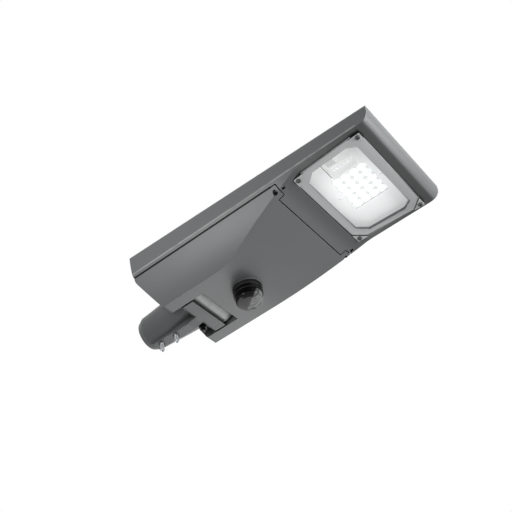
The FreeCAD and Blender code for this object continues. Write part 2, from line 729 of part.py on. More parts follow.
def make_gear_cover():
    """Tray-shaped lower shell with its screw ears, notch walls and sensor seat."""
    outside = outer_hull()
    inside = hull(WALL)
    zone = prism(cover_outline(0), BELLY_Z - 20, COVER_TOP_Z)
    solid = outside.common(zone)
    parts = [outside.cut(inside)]
    parts.append(box(COVER_FRONT_X - WALL, COVER_FRONT_X, -FAR, FAR, BELLY_Z, SEAM_Z))
    parts.append(box(REAR_X, REAR_X + LEDGE_X, -FAR, FAR, SEAM_Z - LEDGE_Z, SEAM_Z))
    for side in SIDES:
        ys = sorted((side * EAR_INNER_Y, side * FAR))
        parts.append(box(COVER_FRONT_X - WALL, EAR_FRONT_X, ys[0], ys[1], BELLY_Z, SEAM_Z))
        parts.append(upright(8.0, COVER_SCREW_X - 4, side * (COVER_SCREW_Y - 3), BELLY_Z, SEAM_Z))
    notch = notch_corners()
    parts.append(side_prism(inset_corners(notch, -WALL), -NOTCH_HALF - WALL, NOTCH_HALF + WALL))
    parts.append(upright(SENSOR_RING_R + 3, SENSOR_CENTRE_X, 0, BELLY_Z, BELLY_Z + SENSOR_SEAT_HEIGHT))
    body = parts[0].fuse(parts[1:]).common(solid)
    seat = upright(SENSOR_RING_R + 2, SENSOR_CENTRE_X, 0, BELLY_Z, BELLY_Z + SENSOR_SEAT_HEIGHT)
    body = body.fuse([seat] + hinge_knuckles(1, 0))
    cuts = hinge_knuckles(0, KNUCKLE_GAP) + hinge_bores(HINGE_FIT)
    cuts.append(side_prism(notch, -NOTCH_HALF, NOTCH_HALF))
    bevel = [(REAR_X - 1, SEAM_Z - 4, 0), (REAR_X + 3.5, SEAM_Z, 0), (REAR_X - 1, SEAM_Z, 0)]
    for low, high in ((NOTCH_HALF, KNUCKLE_Y[0]), (KNUCKLE_Y[5], FAR)):
        for side in SIDES:
            ends = sorted((side * low, side * high))
            cuts.append(side_prism(bevel, ends[0], ends[1]))
    seat_top = BELLY_Z + SENSOR_SEAT_HEIGHT
    cuts.append(upright(SENSOR_THREAD_R + 0.3, SENSOR_CENTRE_X, 0, BELLY_Z - 5, seat_top + 2))
    for side in SIDES:
        y = side * COVER_SCREW_Y
        cuts.append(upright(EAR_HOLE_R, COVER_SCREW_X, y, BELLY_Z, SEAM_Z - 7))
        cuts.append(upright(COVER_SCREW_R + 0.3, COVER_SCREW_X, y, BELLY_Z, SEAM_Z))
    return body.cut(cuts).removeSplitter()


def make_cover_gasket():
    """Flat silicone seal on the cover's rim, set back from the outside."""
    setback = 1.0
    ring = hull(setback).cut(hull(WALL - 0.3))
    notch = side_prism(inset_corners(notch_corners(), setback - WALL), -NOTCH_HALF - WALL + setback,
                       NOTCH_HALF + WALL - setback)
    front = box(COVER_FRONT_X - WALL + 0.3, COVER_FRONT_X - setback, -FAR, FAR, BELLY_Z, FAR)
    slab = box(REAR_X, COVER_FRONT_X - setback, -FAR, FAR, COVER_TOP_Z + 0.05, SEAM_Z - 0.05)
    rear = box(REAR_X + LEDGE_X - 4.5, REAR_X + LEDGE_X - 0.5, -FAR, FAR, BELLY_Z, FAR)
    body = ring.fuse([notch, front, rear]).common(slab).common(hull(setback))
    cuts = [side_prism(notch_corners(), -NOTCH_HALF - 0.3, NOTCH_HALF + 0.3)]
    cuts += hinge_knuckles(0, 1.0) + hinge_knuckles(1, 1.0)
    cuts.append(box(REAR_X - 1, REAR_X + LEDGE_X - 4.5, -FAR, FAR, BELLY_Z, FAR))
    return body.cut(cuts).removeSplitter()


def make_cover_screws():
    """Captive screws: head in the ear, thread in the housing's boss."""
    screws = []
    for side in SIDES:
        y = side * COVER_SCREW_Y
        head_z = SEAM_Z - 7
        head = upright(COVER_SCREW_HEAD_R, COVER_SCREW_X, y, head_z - 4, head_z)
        shank = upright(COVER_SCREW_R - 0.02, COVER_SCREW_X, y, head_z, SEAM_Z + 11)
        socket = hexagon(4.0, Vector(COVER_SCREW_X, y, head_z - 4), 2.5)
        screws.append(head.fuse(shank).cut(socket).removeSplitter())
    return Part.makeCompound(screws)


def make_glass():
    return prism(glass_corners(0, GLASS_CORNER), GLASS_Z, GLASS_Z + GLASS_THICKNESS)


def make_glass_gasket():
    z0 = GLASS_Z + GLASS_THICKNESS
    ring = prism(glass_corners(1.0, GLASS_CORNER), z0, z0 + GASKET_THICKNESS)
    return ring.cut(prism(glass_corners(LEDGE_WIDTH - 1, GLASS_CORNER), z0 - 1, z0 + GASKET_THICKNESS + 1))


def make_glass_clips():
    """Corner clips: a foot beside the glass and a lip over its cut corner."""
    clips = {}
    places = clip_screw_places()
    names = ("rear_right", "rear_left", "front_right", "front_left")
    whole = prism(glass_corners(0, 0), GLASS_Z - CLIP_LIP, SEAT_Z)
    inner = prism(glass_corners(0, CLIP_LEG), GLASS_Z - FAR, SEAT_Z + 1)
    under = prism(glass_corners(-0.4, GLASS_CORNER), GLASS_Z - 0.02, SEAT_Z + 1)
    corners = whole.cut([inner, under])
    for name, (x, y) in zip(names, places):
        block = box(x - CLIP_LEG, x + CLIP_LEG, y - CLIP_LEG, y + CLIP_LEG, GLASS_Z - 9, SEAT_Z + 1)
        clip = corners.common(block).cut(upright(CLIP_SCREW_R + 0.2, x, y, GLASS_Z - 9, SEAT_Z + 1))
        clips["glass_clip_" + name] = clip
    return clips


def make_glass_screws():
    screws = []
    for x, y in clip_screw_places():
        head_z = GLASS_Z - CLIP_LIP
        head = upright(CLIP_HEAD_R, x, y, head_z - CLIP_HEAD_HEIGHT, head_z)
        edge = [e for e in head.Edges if abs(e.BoundBox.ZMax - head_z + CLIP_HEAD_HEIGHT) < 0.01]
        head = head.makeChamfer(0.8, edge)
        shank = upright(CLIP_SCREW_R - 0.02, x, y, head_z, FRAME_TOP_Z)
        socket = hexagon(3.0, Vector(x, y, head_z - CLIP_HEAD_HEIGHT), 1.6)
        screws.append(head.fuse(shank).cut(socket).removeSplitter())
    return Part.makeCompound(screws)


def led_places():
    places = []
    for row in range(LED_ROWS):
        for column in range(LED_COLUMNS):
            x = LED_CENTRE_X + (row - (LED_ROWS - 1) / 2) * LED_PITCH
            y = (column - (LED_COLUMNS - 1) / 2) * LED_PITCH
            places.append((x, y))
    return places


def facetted_dome(profile, place):
    """Closed dome with DOME_SIDES flat sides, from (radius, z) rings up to its crown."""
    turns = [2 * math.pi * i / DOME_SIDES for i in range(DOME_SIDES + 1)]
    rings = []
    for radius, z in profile:
        ring = [place + Vector(radius * math.cos(a), radius * math.sin(a), z) for a in turns]
        rings.append(Part.makePolygon(ring))
    return Part.makeLoft(rings, True, True)


def make_lens_plate():
    """Moulded plate with one dome and one cavity over each light source."""
    half_x = LED_PITCH * LED_ROWS / 2
    half_y = LED_PITCH * LED_COLUMNS / 2
    plate = box(LED_CENTRE_X - half_x, LED_CENTRE_X + half_x, -half_y, half_y, LENS_TOP_Z, BOARD_Z)
    crown = LENS_TOP_Z - LENS_HEIGHT
    root = LENS_TOP_Z + 0.5
    profile = [
        (LENS_R, root), (LENS_R * 0.9, crown + LENS_HEIGHT * 0.5),
        (LENS_R * 0.6, crown + LENS_HEIGHT * 0.12), (LENS_R * 0.2, crown),
    ]
    domes = []
    cavities = []
    for x, y in led_places():
        domes.append(facetted_dome(profile, Vector(x, y, 0)))
        cavities.append(hexagon(6.0, Vector(x, y, BOARD_Z - 1.8), 3.0))
    return plate.fuse(domes).cut(cavities).removeSplitter()


def make_led_packages():
    packages = []
    for x, y in led_places():
        packages.append(box(x - 1.7, x + 1.7, y - 1.7, y + 1.7, BOARD_Z - 0.7, BOARD_Z))
    return Part.makeCompound(packages)


def board_outline(margin):
    """Plan outline of the light engine's board, with its connector tongue on the right."""
    half_x = LED_PITCH * LED_ROWS / 2 + BOARD_MARGIN + margin
    half_y = LED_PITCH * LED_COLUMNS / 2 + BOARD_MARGIN + margin
    tongue = BOARD_TONGUE_HALF + margin
    c = LED_CENTRE_X
    return [
        (c - half_x, half_y, 2.0),
        (c - half_x, -half_y, 2.0),
        (c - tongue, -half_y, 0),
        (c - tongue, -half_y - BOARD_TONGUE, 2.0),
        (c + tongue, -half_y - BOARD_TONGUE, 2.0),
        (c + tongue, -half_y, 0),
        (c + half_x, -half_y, 2.0),
        (c + half_x, half_y, 2.0),
    ]


def make_led_board():
    return prism(board_outline(0), BOARD_Z, BOARD_Z + BOARD_THICKNESS)


def make_thermal_pad():
    return prism(board_outline(-1.5), BOARD_Z + BOARD_THICKNESS, HEAT_PAD_Z)


def reflector_screw_places():
    rear = LED_CENTRE_X - LED_PITCH * LED_ROWS / 2 - 8
    front = LED_CENTRE_X + LED_PITCH * LED_ROWS / 2 + 8
    return [(rear, 0), (front, 0)]


def make_reflector():
    """White tray round the lens plate, which hides the chamber behind the glass."""
    top = FRAME_TOP_Z + REFLECTOR_THICKNESS
    tray = prism(glass_corners(4.0, 0), FRAME_TOP_Z, top)
    half_x = LED_PITCH * LED_ROWS / 2 + 1
    half_y = LED_PITCH * LED_COLUMNS / 2 + 1
    cuts = [box(LED_CENTRE_X - half_x, LED_CENTRE_X + half_x, -half_y, half_y, 0, top + 1)]
    cuts.append(box(LED_CENTRE_X - BOARD_TONGUE_HALF, LED_CENTRE_X + BOARD_TONGUE_HALF,
                    -half_y - BOARD_TONGUE, 0, 0, top + 1))
    for x, y in reflector_screw_places():
        cuts.append(upright(1.7, x, y, 0, top + 1))
    for x, y in clip_screw_places():
        cuts.append(upright(CLIP_SCREW_R + 1, x, y, 0, top + 1))
    return tray.cut(cuts)


def make_reflector_screws():
    screws = []
    for x, y in reflector_screw_places():
        head = upright(2.8, x, y, FRAME_TOP_Z - 1.6, FRAME_TOP_Z)
        shank = upright(1.5, x, y, FRAME_TOP_Z, HEAT_PAD_Z)
        screws.append(head.fuse(shank).removeSplitter())
    return Part.makeCompound(screws)


def make_board_connector():
    x = LED_CENTRE_X - 9
    y = -LED_PITCH * LED_COLUMNS / 2 - BOARD_TONGUE + 12
    body = box(x - 8, x + 8, y - 6, y + 6, BOARD_Z - 5, BOARD_Z)
    ports = [box(x - 6 + 7 * i, x - 1 + 7 * i, y - 7, y - 2, BOARD_Z - 4, BOARD_Z - 1) for i in range(2)]
    return body.cut(ports)


def make_board_header():
    x = LED_CENTRE_X + 2
    y = -LED_PITCH * LED_COLUMNS / 2 - 20
    body = box(x - 20, x + 20, y - 5, y + 5, BOARD_Z - 4, BOARD_Z)
    starts = [x - 17.5 + 7 * i for i in range(5)]
    slots = [box(start, start + 5, y - 3, y + 3, BOARD_Z - 5, BOARD_Z - 2) for start in starts]
    return body.cut(slots)


def make_gear_tray():
    """Folded steel plate under the roof that carries the control gear."""
    x0, x1 = TRAY_X
    plate = box(x0, x1, -TRAY_HALF, TRAY_HALF, TRAY_Z, TRAY_Z + TRAY_THICKNESS)
    lip = box(x0, x1, -TRAY_HALF, -TRAY_HALF + TRAY_THICKNESS, TRAY_Z - TRAY_LIP, TRAY_Z)
    cuts = [upright(2.3, x, y, TRAY_Z - 1, TRAY_Z + 3) for x, y in tray_boss_places()]
    rear = x0 + TRAY_WINDOW_START
    front = x1 - TRAY_WINDOW_END
    low, high = TRAY_WINDOW_Y
    window = [(rear, low, 4.0), (front, low, 4.0), (front, high, 4.0), (rear, high, 4.0)]
    cuts.append(prism(window, TRAY_Z - 1, TRAY_Z + 3))
    return plate.fuse([lip, mirrored(lip)]).cut(cuts).removeSplitter()


def make_tray_screws():
    screws = []
    for x, y in tray_boss_places():
        head = upright(3.8, x, y, TRAY_Z - 2.6, TRAY_Z)
        shank = upright(1.98, x, y, TRAY_Z, TRAY_Z + 10)
        screws.append(head.fuse(shank).removeSplitter())
    return Part.makeCompound(screws)


def gear_box(corner, size, edge_radius):
    """Upright-edged box that hangs under the tray."""
    x, y = corner
    corners = [
        (x, y, edge_radius),
        (x + size[0], y, edge_radius),
        (x + size[0], y + size[1], edge_radius),
        (x, y + size[1], edge_radius),
    ]
    return prism(corners, TRAY_Z - size[2], TRAY_Z)


def make_led_driver():
    """Driver case with end flanges and a stepped terminal end."""
    length, width, height = DRIVER_SIZE
    x, y = DRIVER_CORNER
    body = gear_box((x + 10, y), (length - 20, width, height), 3.0)
    flange = gear_box((x, y + 6), (length, width - 12, 3.0), 3.0)
    cuts = []
    for end in (x + 5, x + length - 5):
        cuts.append(upright(2.3, end, y + width / 2, TRAY_Z - 6, TRAY_Z + 1))
    for i in range(6):
        port_y = y + 8 + i * 10
        cuts.append(box(x + length - 18, x + length - 9, port_y, port_y + 5, TRAY_Z - 20, TRAY_Z - 14))
    return body.fuse(flange).cut(cuts).removeSplitter()


def make_driver_screws():
    length, width, height = DRIVER_SIZE
    x, y = DRIVER_CORNER
    screws = []
    for end in (x + 5, x + length - 5):
        head = upright(3.8, end, y + width / 2, TRAY_Z - 5.6, TRAY_Z - 3)
        shank = upright(1.98, end, y + width / 2, TRAY_Z - 3, TRAY_Z)
        screws.append(head.fuse(shank).removeSplitter())
    return Part.makeCompound(screws)


def make_surge_protector():
    body = gear_box(SURGE_CORNER, SURGE_SIZE, 4.0)
    x, y = SURGE_CORNER
    root = Vector(x, y + SURGE_SIZE[1] / 2, TRAY_Z - 10)
    tail = rod(3.0, root - Vector(6, 0, 0), root)
    return body.fuse(tail).removeSplitter()


def make_terminal_block():
    """Row of lever terminals with wire entries on the side towards the gland."""
    x, y = TERMINAL_CORNER
    length, width, height = TERMINAL_SIZE
    body = gear_box(TERMINAL_CORNER, TERMINAL_SIZE, 1.0)
    pole = width / TERMINAL_POLES
    cuts = []
    for i in range(TERMINAL_POLES):
        middle = y + pole * (i + 0.5)
        cuts.append(box(x - 1, x + 8, middle - 2.2, middle + 2.2, TRAY_Z - 12, TRAY_Z - 7))
        cuts.append(upright(2.6, x + length - 7, middle, TRAY_Z - height - 1, TRAY_Z - height + 3))
    for i in range(1, TERMINAL_POLES):
        cuts.append(box(x + 2, x + length - 2, y + pole * i - 0.4, y + pole * i + 0.4,
                        TRAY_Z - height - 1, TRAY_Z - height + 2))
    return body.cut(cuts)


def make_cable_gland():
    """Gland through the bay's front wall, with its hexagon towards the bay."""
    front = BAY_FRONT_X
    points = [front - 12, front, front + WALL + 10]
    nose = rod(GLAND_R, Vector(points[0], GLAND_Y, GLAND_Z), Vector(points[0] + 6, GLAND_Y, GLAND_Z))
    collar = hexagon(GLAND_FLATS, Vector(0, 0, 0), 6.0)
    collar.rotate(Vector(0, 0, 0), Vector(0, 1, 0), 90)
    collar.translate(Vector(front - 6, GLAND_Y, GLAND_Z))
    thread = rod(GLAND_R - 2.02, Vector(front, GLAND_Y, GLAND_Z), Vector(points[2], GLAND_Y, GLAND_Z))
    hole = rod(4.5, Vector(points[0] - 1, GLAND_Y, GLAND_Z), Vector(points[2] + 1, GLAND_Y, GLAND_Z))
    return nose.fuse([collar, thread]).cut(hole).removeSplitter()


def make_gland_nut():
    front = BAY_FRONT_X + WALL
    nut = hexagon(GLAND_FLATS, Vector(0, 0, 0), 5.0)
    nut.rotate(Vector(0, 0, 0), Vector(0, 1, 0), 90)
    nut.translate(Vector(front, GLAND_Y, GLAND_Z))
    hole = rod(GLAND_R - 2, Vector(front - 1, GLAND_Y, GLAND_Z), Vector(front + 6, GLAND_Y, GLAND_Z))
    return nut.cut(hole)


def make_breather_valve():
    """Pressure-equalising vent in the bay's front wall."""
    front = BAY_FRONT_X
    cap = rod(9.0, Vector(front - 5, -GLAND_Y, GLAND_Z), Vector(front, -GLAND_Y, GLAND_Z))
    end = Vector(front + WALL + 4, -GLAND_Y, GLAND_Z)
    stem = rod(BREATHER_R - 0.02, Vector(front, -GLAND_Y, GLAND_Z), end)
    slot = box(front - 4, front - 2.5, -GLAND_Y - 10, -GLAND_Y + 10, GLAND_Z - 1, GLAND_Z + 1)
    return cap.fuse(stem).cut(slot).removeSplitter()


def make_lead_grommet():
    """Rubber grommet for the light engine's lead in the partition."""
    face = Vector(COVER_FRONT_X + SEAM_GAP, LEAD_Y, LEAD_Z)
    lip = Vector(2, 0, 0)
    through = Vector(WALL, 0, 0)
    flange = rod(LEAD_R + LEAD_FLANGE, face - lip, face)
    sleeve = rod(LEAD_R - 0.02, face, face + through)
    back = rod(LEAD_R + LEAD_FLANGE, face + through, face + through + lip)
    hole = rod(LEAD_R / 2, face - lip * 1.5, face + through + lip * 1.5)
    return flange.fuse([sleeve, back]).cut(hole).removeSplitter()


def make_sensor_gasket():
    z1 = BELLY_Z
    ring = upright(SENSOR_RING_R, SENSOR_CENTRE_X, 0, z1 - SENSOR_GASKET_THICKNESS, z1)
    return ring.cut(upright(SENSOR_THREAD_R + 0.3, SENSOR_CENTRE_X, 0, z1 - 5, z1 + 1))


def make_sensor_receptacle():
    """Round receptacle: flange outside, threaded neck through the cover."""
    z1 = BELLY_Z - SENSOR_GASKET_THICKNESS
    top = BELLY_Z + SENSOR_NECK
    flange = upright(SENSOR_RING_R - 1, SENSOR_CENTRE_X, 0, z1 - SENSOR_FLANGE, z1)
    neck = upright(SENSOR_THREAD_R, SENSOR_CENTRE_X, 0, z1, top)
    slots = []
    for i in range(4):
        angle = math.radians(45 + 90 * i)
        x = SENSOR_CENTRE_X + SENSOR_SLOT_RING_R * math.cos(angle)
        y = SENSOR_SLOT_RING_R * math.sin(angle)
        slots.append(upright(SENSOR_SLOT_R, x, y, top - 6, top + 1))
    return flange.fuse(neck).cut(slots).removeSplitter()


def make_receptacle_nut():
    base = BELLY_Z + SENSOR_SEAT_HEIGHT
    nut = hexagon(SENSOR_NUT_FLATS, Vector(SENSOR_CENTRE_X, 0, base), 5.0)
    return nut.cut(upright(SENSOR_THREAD_R + 0.02, SENSOR_CENTRE_X, 0, base - 1, base + 6))


def make_sensor_base():
    """Glossy ring that twists onto the receptacle and carries the dome."""
    top = BELLY_Z - SENSOR_GASKET_THICKNESS - SENSOR_FLANGE
    low = BELLY_Z - SENSOR_GASKET_THICKNESS - SENSOR_BASE_HEIGHT
    r = SENSOR_RING_R
    c = SENSOR_CAP_R
    points = [
        (0, top), (r - 0.6, top), (r, top - 0.6), (r, low + 1.2), (r - 1.2, low),
        (c - 2, low), (c - 2, low + 3), (0, low + 3),
    ]
    return revolve_profile(points, SENSOR_CENTRE_X)


def make_sensor_dome():
    """Clear cap with a rolled rim and a shallow crown."""
    top = BELLY_Z - SENSOR_GASKET_THICKNESS - SENSOR_BASE_HEIGHT + 3
    low = top - 3 - SENSOR_CAP_HEIGHT
    c = SENSOR_CAP_R - 2.02
    rim = SENSOR_CAP_R
    points = [
        (c - 2, top), (c, top), (c, top - 3), (rim - 0.4, top - 3), (rim, top - 4), (rim, low + 4.5),
        (rim - 0.6, low + 2.6), (rim - 2.4, low + 1.2), (rim * 0.62, low + 0.3), (rim * 0.3, low), (0, low),
        (0, low + 2), (rim * 0.6, low + 2.3), (rim - 4, low + 4), (c - 2, low + 6),
    ]
    return revolve_profile(points, SENSOR_CENTRE_X)


def make_sensor_core():
    """Dark detector carrier inside the dome."""
    top = BELLY_Z - SENSOR_GASKET_THICKNESS - SENSOR_BASE_HEIGHT + 3
    low = top - 3 - SENSOR_CAP_HEIGHT + 5.5
    r = SENSOR_CAP_R - 6
    points = [(0, top), (r, top), (r, low + 3), (r - 3, low), (6, low), (4, low - 1.5), (0, low - 2)]
    return revolve_profile(points, SENSOR_CENTRE_X)


def build():
    parts = {
        "mounting_bracket": make_mounting_bracket(),
        "clamp_screws": make_clamp_screws(),
        "tilt_lock_screw": make_tilt_lock_screw(),
        "pivot_barrel": make_pivot_barrel(),
        "barrel_screws": make_barrel_screws(),
        "pivot_bolt": make_pivot_bolt(),
        "pivot_nut": make_pivot_nut(),
        "upper_housing": make_upper_housing(),
        "gear_cover": make_gear_cover(),
        "cover_gasket": make_cover_gasket(),
        "cover_screws": make_cover_screws(),
        "hinge_pins": make_hinge_pins(),
        "glass_cover": make_glass(),
        "glass_gasket": make_glass_gasket(),
        "glass_screws": make_glass_screws(),
        "lens_plate": make_lens_plate(),
        "led_packages": make_led_packages(),
        "led_board": make_led_board(),
        "thermal_pad": make_thermal_pad(),
        "reflector_tray": make_reflector(),
        "reflector_screws": make_reflector_screws(),
        "board_connector": make_board_connector(),
        "board_header": make_board_header(),
        "gear_tray": make_gear_tray(),
        "tray_screws": make_tray_screws(),
        "led_driver": make_led_driver(),
        "driver_screws": make_driver_screws(),
        "surge_protector": make_surge_protector(),
        "terminal_block": make_terminal_block(),
        "cable_gland": make_cable_gland(),
        "gland_nut": make_gland_nut(),
        "breather_valve": make_breather_valve(),
        "lead_grommet": make_lead_grommet(),
        "sensor_gasket": make_sensor_gasket(),
        "sensor_receptacle": make_sensor_receptacle(),
        "receptacle_nut": make_receptacle_nut(),
        "sensor_base": make_sensor_base(),
        "sensor_dome": make_sensor_dome(),
        "sensor_core": make_sensor_core(),
    }
    parts.update(make_glass_clips())
    return parts


os.makedirs("parts", exist_ok=True)
for node, shape in build().items():
    shape.exportStep("parts/%s.step" % node)
    print(node, len(shape.Solids), "solid", shape.isValid(), round(shape.Volume / 1000, 2), "cm3")
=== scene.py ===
import logging
import math
from dataclasses import dataclass, field
from enum import Enum
from typing import Any, Sequence

import bmesh
import bpy
import numpy as np
from mathutils import Matrix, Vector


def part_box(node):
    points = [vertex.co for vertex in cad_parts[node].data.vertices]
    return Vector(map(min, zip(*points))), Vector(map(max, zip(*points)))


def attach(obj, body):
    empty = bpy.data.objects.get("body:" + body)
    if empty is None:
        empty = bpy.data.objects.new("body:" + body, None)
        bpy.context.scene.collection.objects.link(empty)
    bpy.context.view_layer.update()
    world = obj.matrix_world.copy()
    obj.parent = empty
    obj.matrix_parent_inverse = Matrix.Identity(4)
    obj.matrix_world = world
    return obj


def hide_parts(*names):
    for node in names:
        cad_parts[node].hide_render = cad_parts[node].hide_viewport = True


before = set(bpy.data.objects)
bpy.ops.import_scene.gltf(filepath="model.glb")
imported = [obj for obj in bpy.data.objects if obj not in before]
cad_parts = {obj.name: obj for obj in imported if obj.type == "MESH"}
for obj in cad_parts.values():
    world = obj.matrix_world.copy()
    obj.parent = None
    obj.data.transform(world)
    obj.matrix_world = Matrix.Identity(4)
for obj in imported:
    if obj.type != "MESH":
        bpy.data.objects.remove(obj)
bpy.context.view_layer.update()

log = logging.getLogger("street_light")
MM = 0.001
ARRAY_X_MM = 477.0  # centre of the light array
RING_STEPS = 24  # points round a screw or a lens
SHARP_DEG = 35.0  # edges flatter than this are shaded smooth
Grid = tuple[np.ndarray, np.ndarray, np.ndarray]


class Body(Enum):
    """The rigid bodies that pieces ride on."""

    BRACKET = "bracket"
    HOUSING = "housing"
    COVER = "cover"


def linear(hex_colour: str) -> tuple[float, float, float, float]:
    """Turns an sRGB hex colour into a linear one.

    Args:
        hex_colour: six hex digits.

    Returns:
        Linear red, green, blue and an alpha of one.
    """
    parts = [int(hex_colour[i:i + 2], 16) / 255 for i in (0, 2, 4)]
    curve = [c / 12.92 if c <= 0.04045 else ((c + 0.055) / 1.055) ** 2.4 for c in parts]
    return (curve[0], curve[1], curve[2], 1.0)


def add(tree: bpy.types.NodeTree, kind: str, links: dict[Any, Any] | None = None,
        **settings: Any) -> bpy.types.Node:
    """Adds a shader node.

    Args:
        tree: the material's or world's tree.
        kind: the node's type name after "ShaderNode".
        links: socket name or number to a value, or to another node's output socket.
        settings: the node's own properties.

    Returns:
        The new node.
    """
    node = tree.nodes.new("ShaderNode" + kind)
    for name, value in settings.items():
        setattr(node, name, value)
    for name, value in (links or {}).items():
        socket = node.inputs[name]
        if isinstance(value, bpy.types.NodeSocket):
            tree.links.new(value, socket)
        else:
            socket.default_value = value
    return node


def grain(tree: bpy.types.NodeTree, size_mm: float, detail: float = 2.0) -> bpy.types.NodeSocket:
    """Noise on object coordinates whose features are about size_mm across."""
    where = add(tree, "TexCoord").outputs["Object"]
    noise = add(tree, "TexNoise", {"Vector": where, "Scale": 1 / (size_mm * MM), "Detail": detail})
    return noise.outputs["Fac"]


def new_tree(name: str) -> tuple[bpy.types.Material, bpy.types.NodeTree]:
    """A new material and its empty tree."""
    made = bpy.data.materials.new(name)
    made.use_nodes = True
    made.node_tree.nodes.clear()
    return made, made.node_tree


def smooth(tree: bpy.types.NodeTree, value: bpy.types.NodeSocket, start: float, end: float,
           low: float = 0.0, high: float = 1.0) -> bpy.types.NodeSocket:
    """Smooth step of a value: low up to start, high from end."""
    step = add(tree, "MapRange", {"Value": value, "From Min": start, "From Max": end, "To Min": low,
                                  "To Max": high}, interpolation_type="SMOOTHSTEP")
    return step.outputs["Result"]


def blended(tree: bpy.types.NodeTree, share: bpy.types.NodeSocket, first: Any,
            second: Any) -> bpy.types.NodeSocket:
    """Colour that runs from first to second with a share from 0 to 1."""
    return add(tree, "Mix", {0: share, 6: first, 7: second}, data_type="RGBA").outputs[2]


def product(tree: bpy.types.NodeTree, value: bpy.types.NodeSocket, *others: Any) -> bpy.types.NodeSocket:
    """A value times each of the others, which are sockets or numbers."""
    for other in others:
        value = add(tree, "Math", {0: value, 1: other}, operation="MULTIPLY").outputs[0]
    return value


@dataclass(frozen=True)
class Finish:
    """A real material and how its surface was made."""

    name: str
    colour: str
    roughness: float = 0.5
    metallic: float = 0.0
    ior: float = 1.5
    grain_mm: float = 1.0
    grain_depth_mm: float = 0.0
    tone_mm: float = 30.0
    tone_spread: float = 0.0
    edge_mm: float = 0.0
    edge_highlight: float = 0.0
    crevice_shade: float = 0.0
    crevice_mm: float = 17.0
    glow: float = 0.0
    glow_fall: float = 0.0

    def material(self) -> bpy.types.Material:
        """Builds the material once and returns it.

        Returns:
            The material with this finish's name.
        """
        known = bpy.data.materials.get(self.name)
        if known:
            return known
        made, tree = new_tree(self.name)
        shader = add(tree, "BsdfPrincipled", {
            "Base Color": linear(self.colour), "Roughness": self.roughness, "Metallic": self.metallic,
            "IOR": self.ior,
        })
        add(tree, "OutputMaterial", {"Surface": shader.outputs["BSDF"]})
        self.texture(tree, shader)
        return made

    def texture(self, tree: bpy.types.NodeTree, shader: bpy.types.Node) -> None:
        """Adds the tone, the grain and the edge rounding that the finish has.

        Args:
            tree: the material's tree.
            shader: its principled shader.
        """
        if self.glow > 0:
            shader.inputs["Emission Color"].default_value = linear(self.colour)
            shader.inputs["Emission Strength"].default_value = self.glow
        if self.glow_fall > 0:
            strength = self.falling_glow(tree)
            tree.links.new(strength, shader.inputs["Emission Strength"])
        normal = None
        if self.edge_mm > 0:
            normal = add(tree, "Bevel", {"Radius": self.edge_mm * MM}, samples=6).outputs["Normal"]
        if self.tone_spread > 0:
            tree.links.new(self.tone(tree, normal), shader.inputs["Base Color"])
        if self.grain_depth_mm > 0:
            links = {"Height": grain(tree, self.grain_mm), "Distance": self.grain_depth_mm * MM}
            if normal:
                links["Normal"] = normal
            normal = add(tree, "Bump", links).outputs["Normal"]
        if normal:
            tree.links.new(normal, shader.inputs["Normal"])

    def tone(self, tree: bpy.types.NodeTree, bevelled: bpy.types.NodeSocket | None) -> bpy.types.NodeSocket:
        """Colour with soft mottling, a painted highlight on edges and painted shade in crevices.

        Args:
            tree: the material's tree.
            bevelled: the rounded normal, whose angle to the plain one finds the edges.

        Returns:
            The colour socket.
        """
        base = linear(self.colour)[:3]
        dark = [c * (1 - self.tone_spread) for c in base] + [1.0]
        light = [c * (1 + self.tone_spread) for c in base] + [1.0]
        colour = blended(tree, grain(tree, self.tone_mm), dark, light)
        # Painted highlight: edges, where the rounded normal bends away from the plain one, are lightened.
        if self.edge_highlight > 0 and bevelled:
            plain = add(tree, "NewGeometry").outputs["Normal"]
            bend = add(tree, "VectorMath", {0: bevelled, 1: plain}, operation="DOT_PRODUCT")
            edge = smooth(tree, bend.outputs["Value"], 0.93, 0.995, self.edge_highlight, 0.0)
            colour = blended(tree, edge, colour, [min(1.0, 4 * c) for c in base] + [1.0])
        # Painted shade: ambient occlusion darkens crevices towards near black.
        if self.crevice_shade > 0:
            sky = add(tree, "AmbientOcclusion", {"Distance": self.crevice_mm * MM}, samples=8)
            shade = smooth(tree, sky.outputs["AO"], 0.25, 0.9, self.crevice_shade, 0.0)
            colour = blended(tree, shade, colour, [c * 0.05 for c in base] + [1.0])
        return colour

    def falling_glow(self, tree: bpy.types.NodeTree) -> bpy.types.NodeSocket:
        """Glow that falls with the distance from the light array's centre."""
        where = add(tree, "TexCoord").outputs["Object"]
        away = add(tree, "VectorMath", {0: where, 1: (ARRAY_X_MM * MM, 0.0, 0.0)}, operation="DISTANCE")
        return smooth(tree, away.outputs["Value"], 45 * MM, 100 * MM, self.glow, self.glow - self.glow_fall)


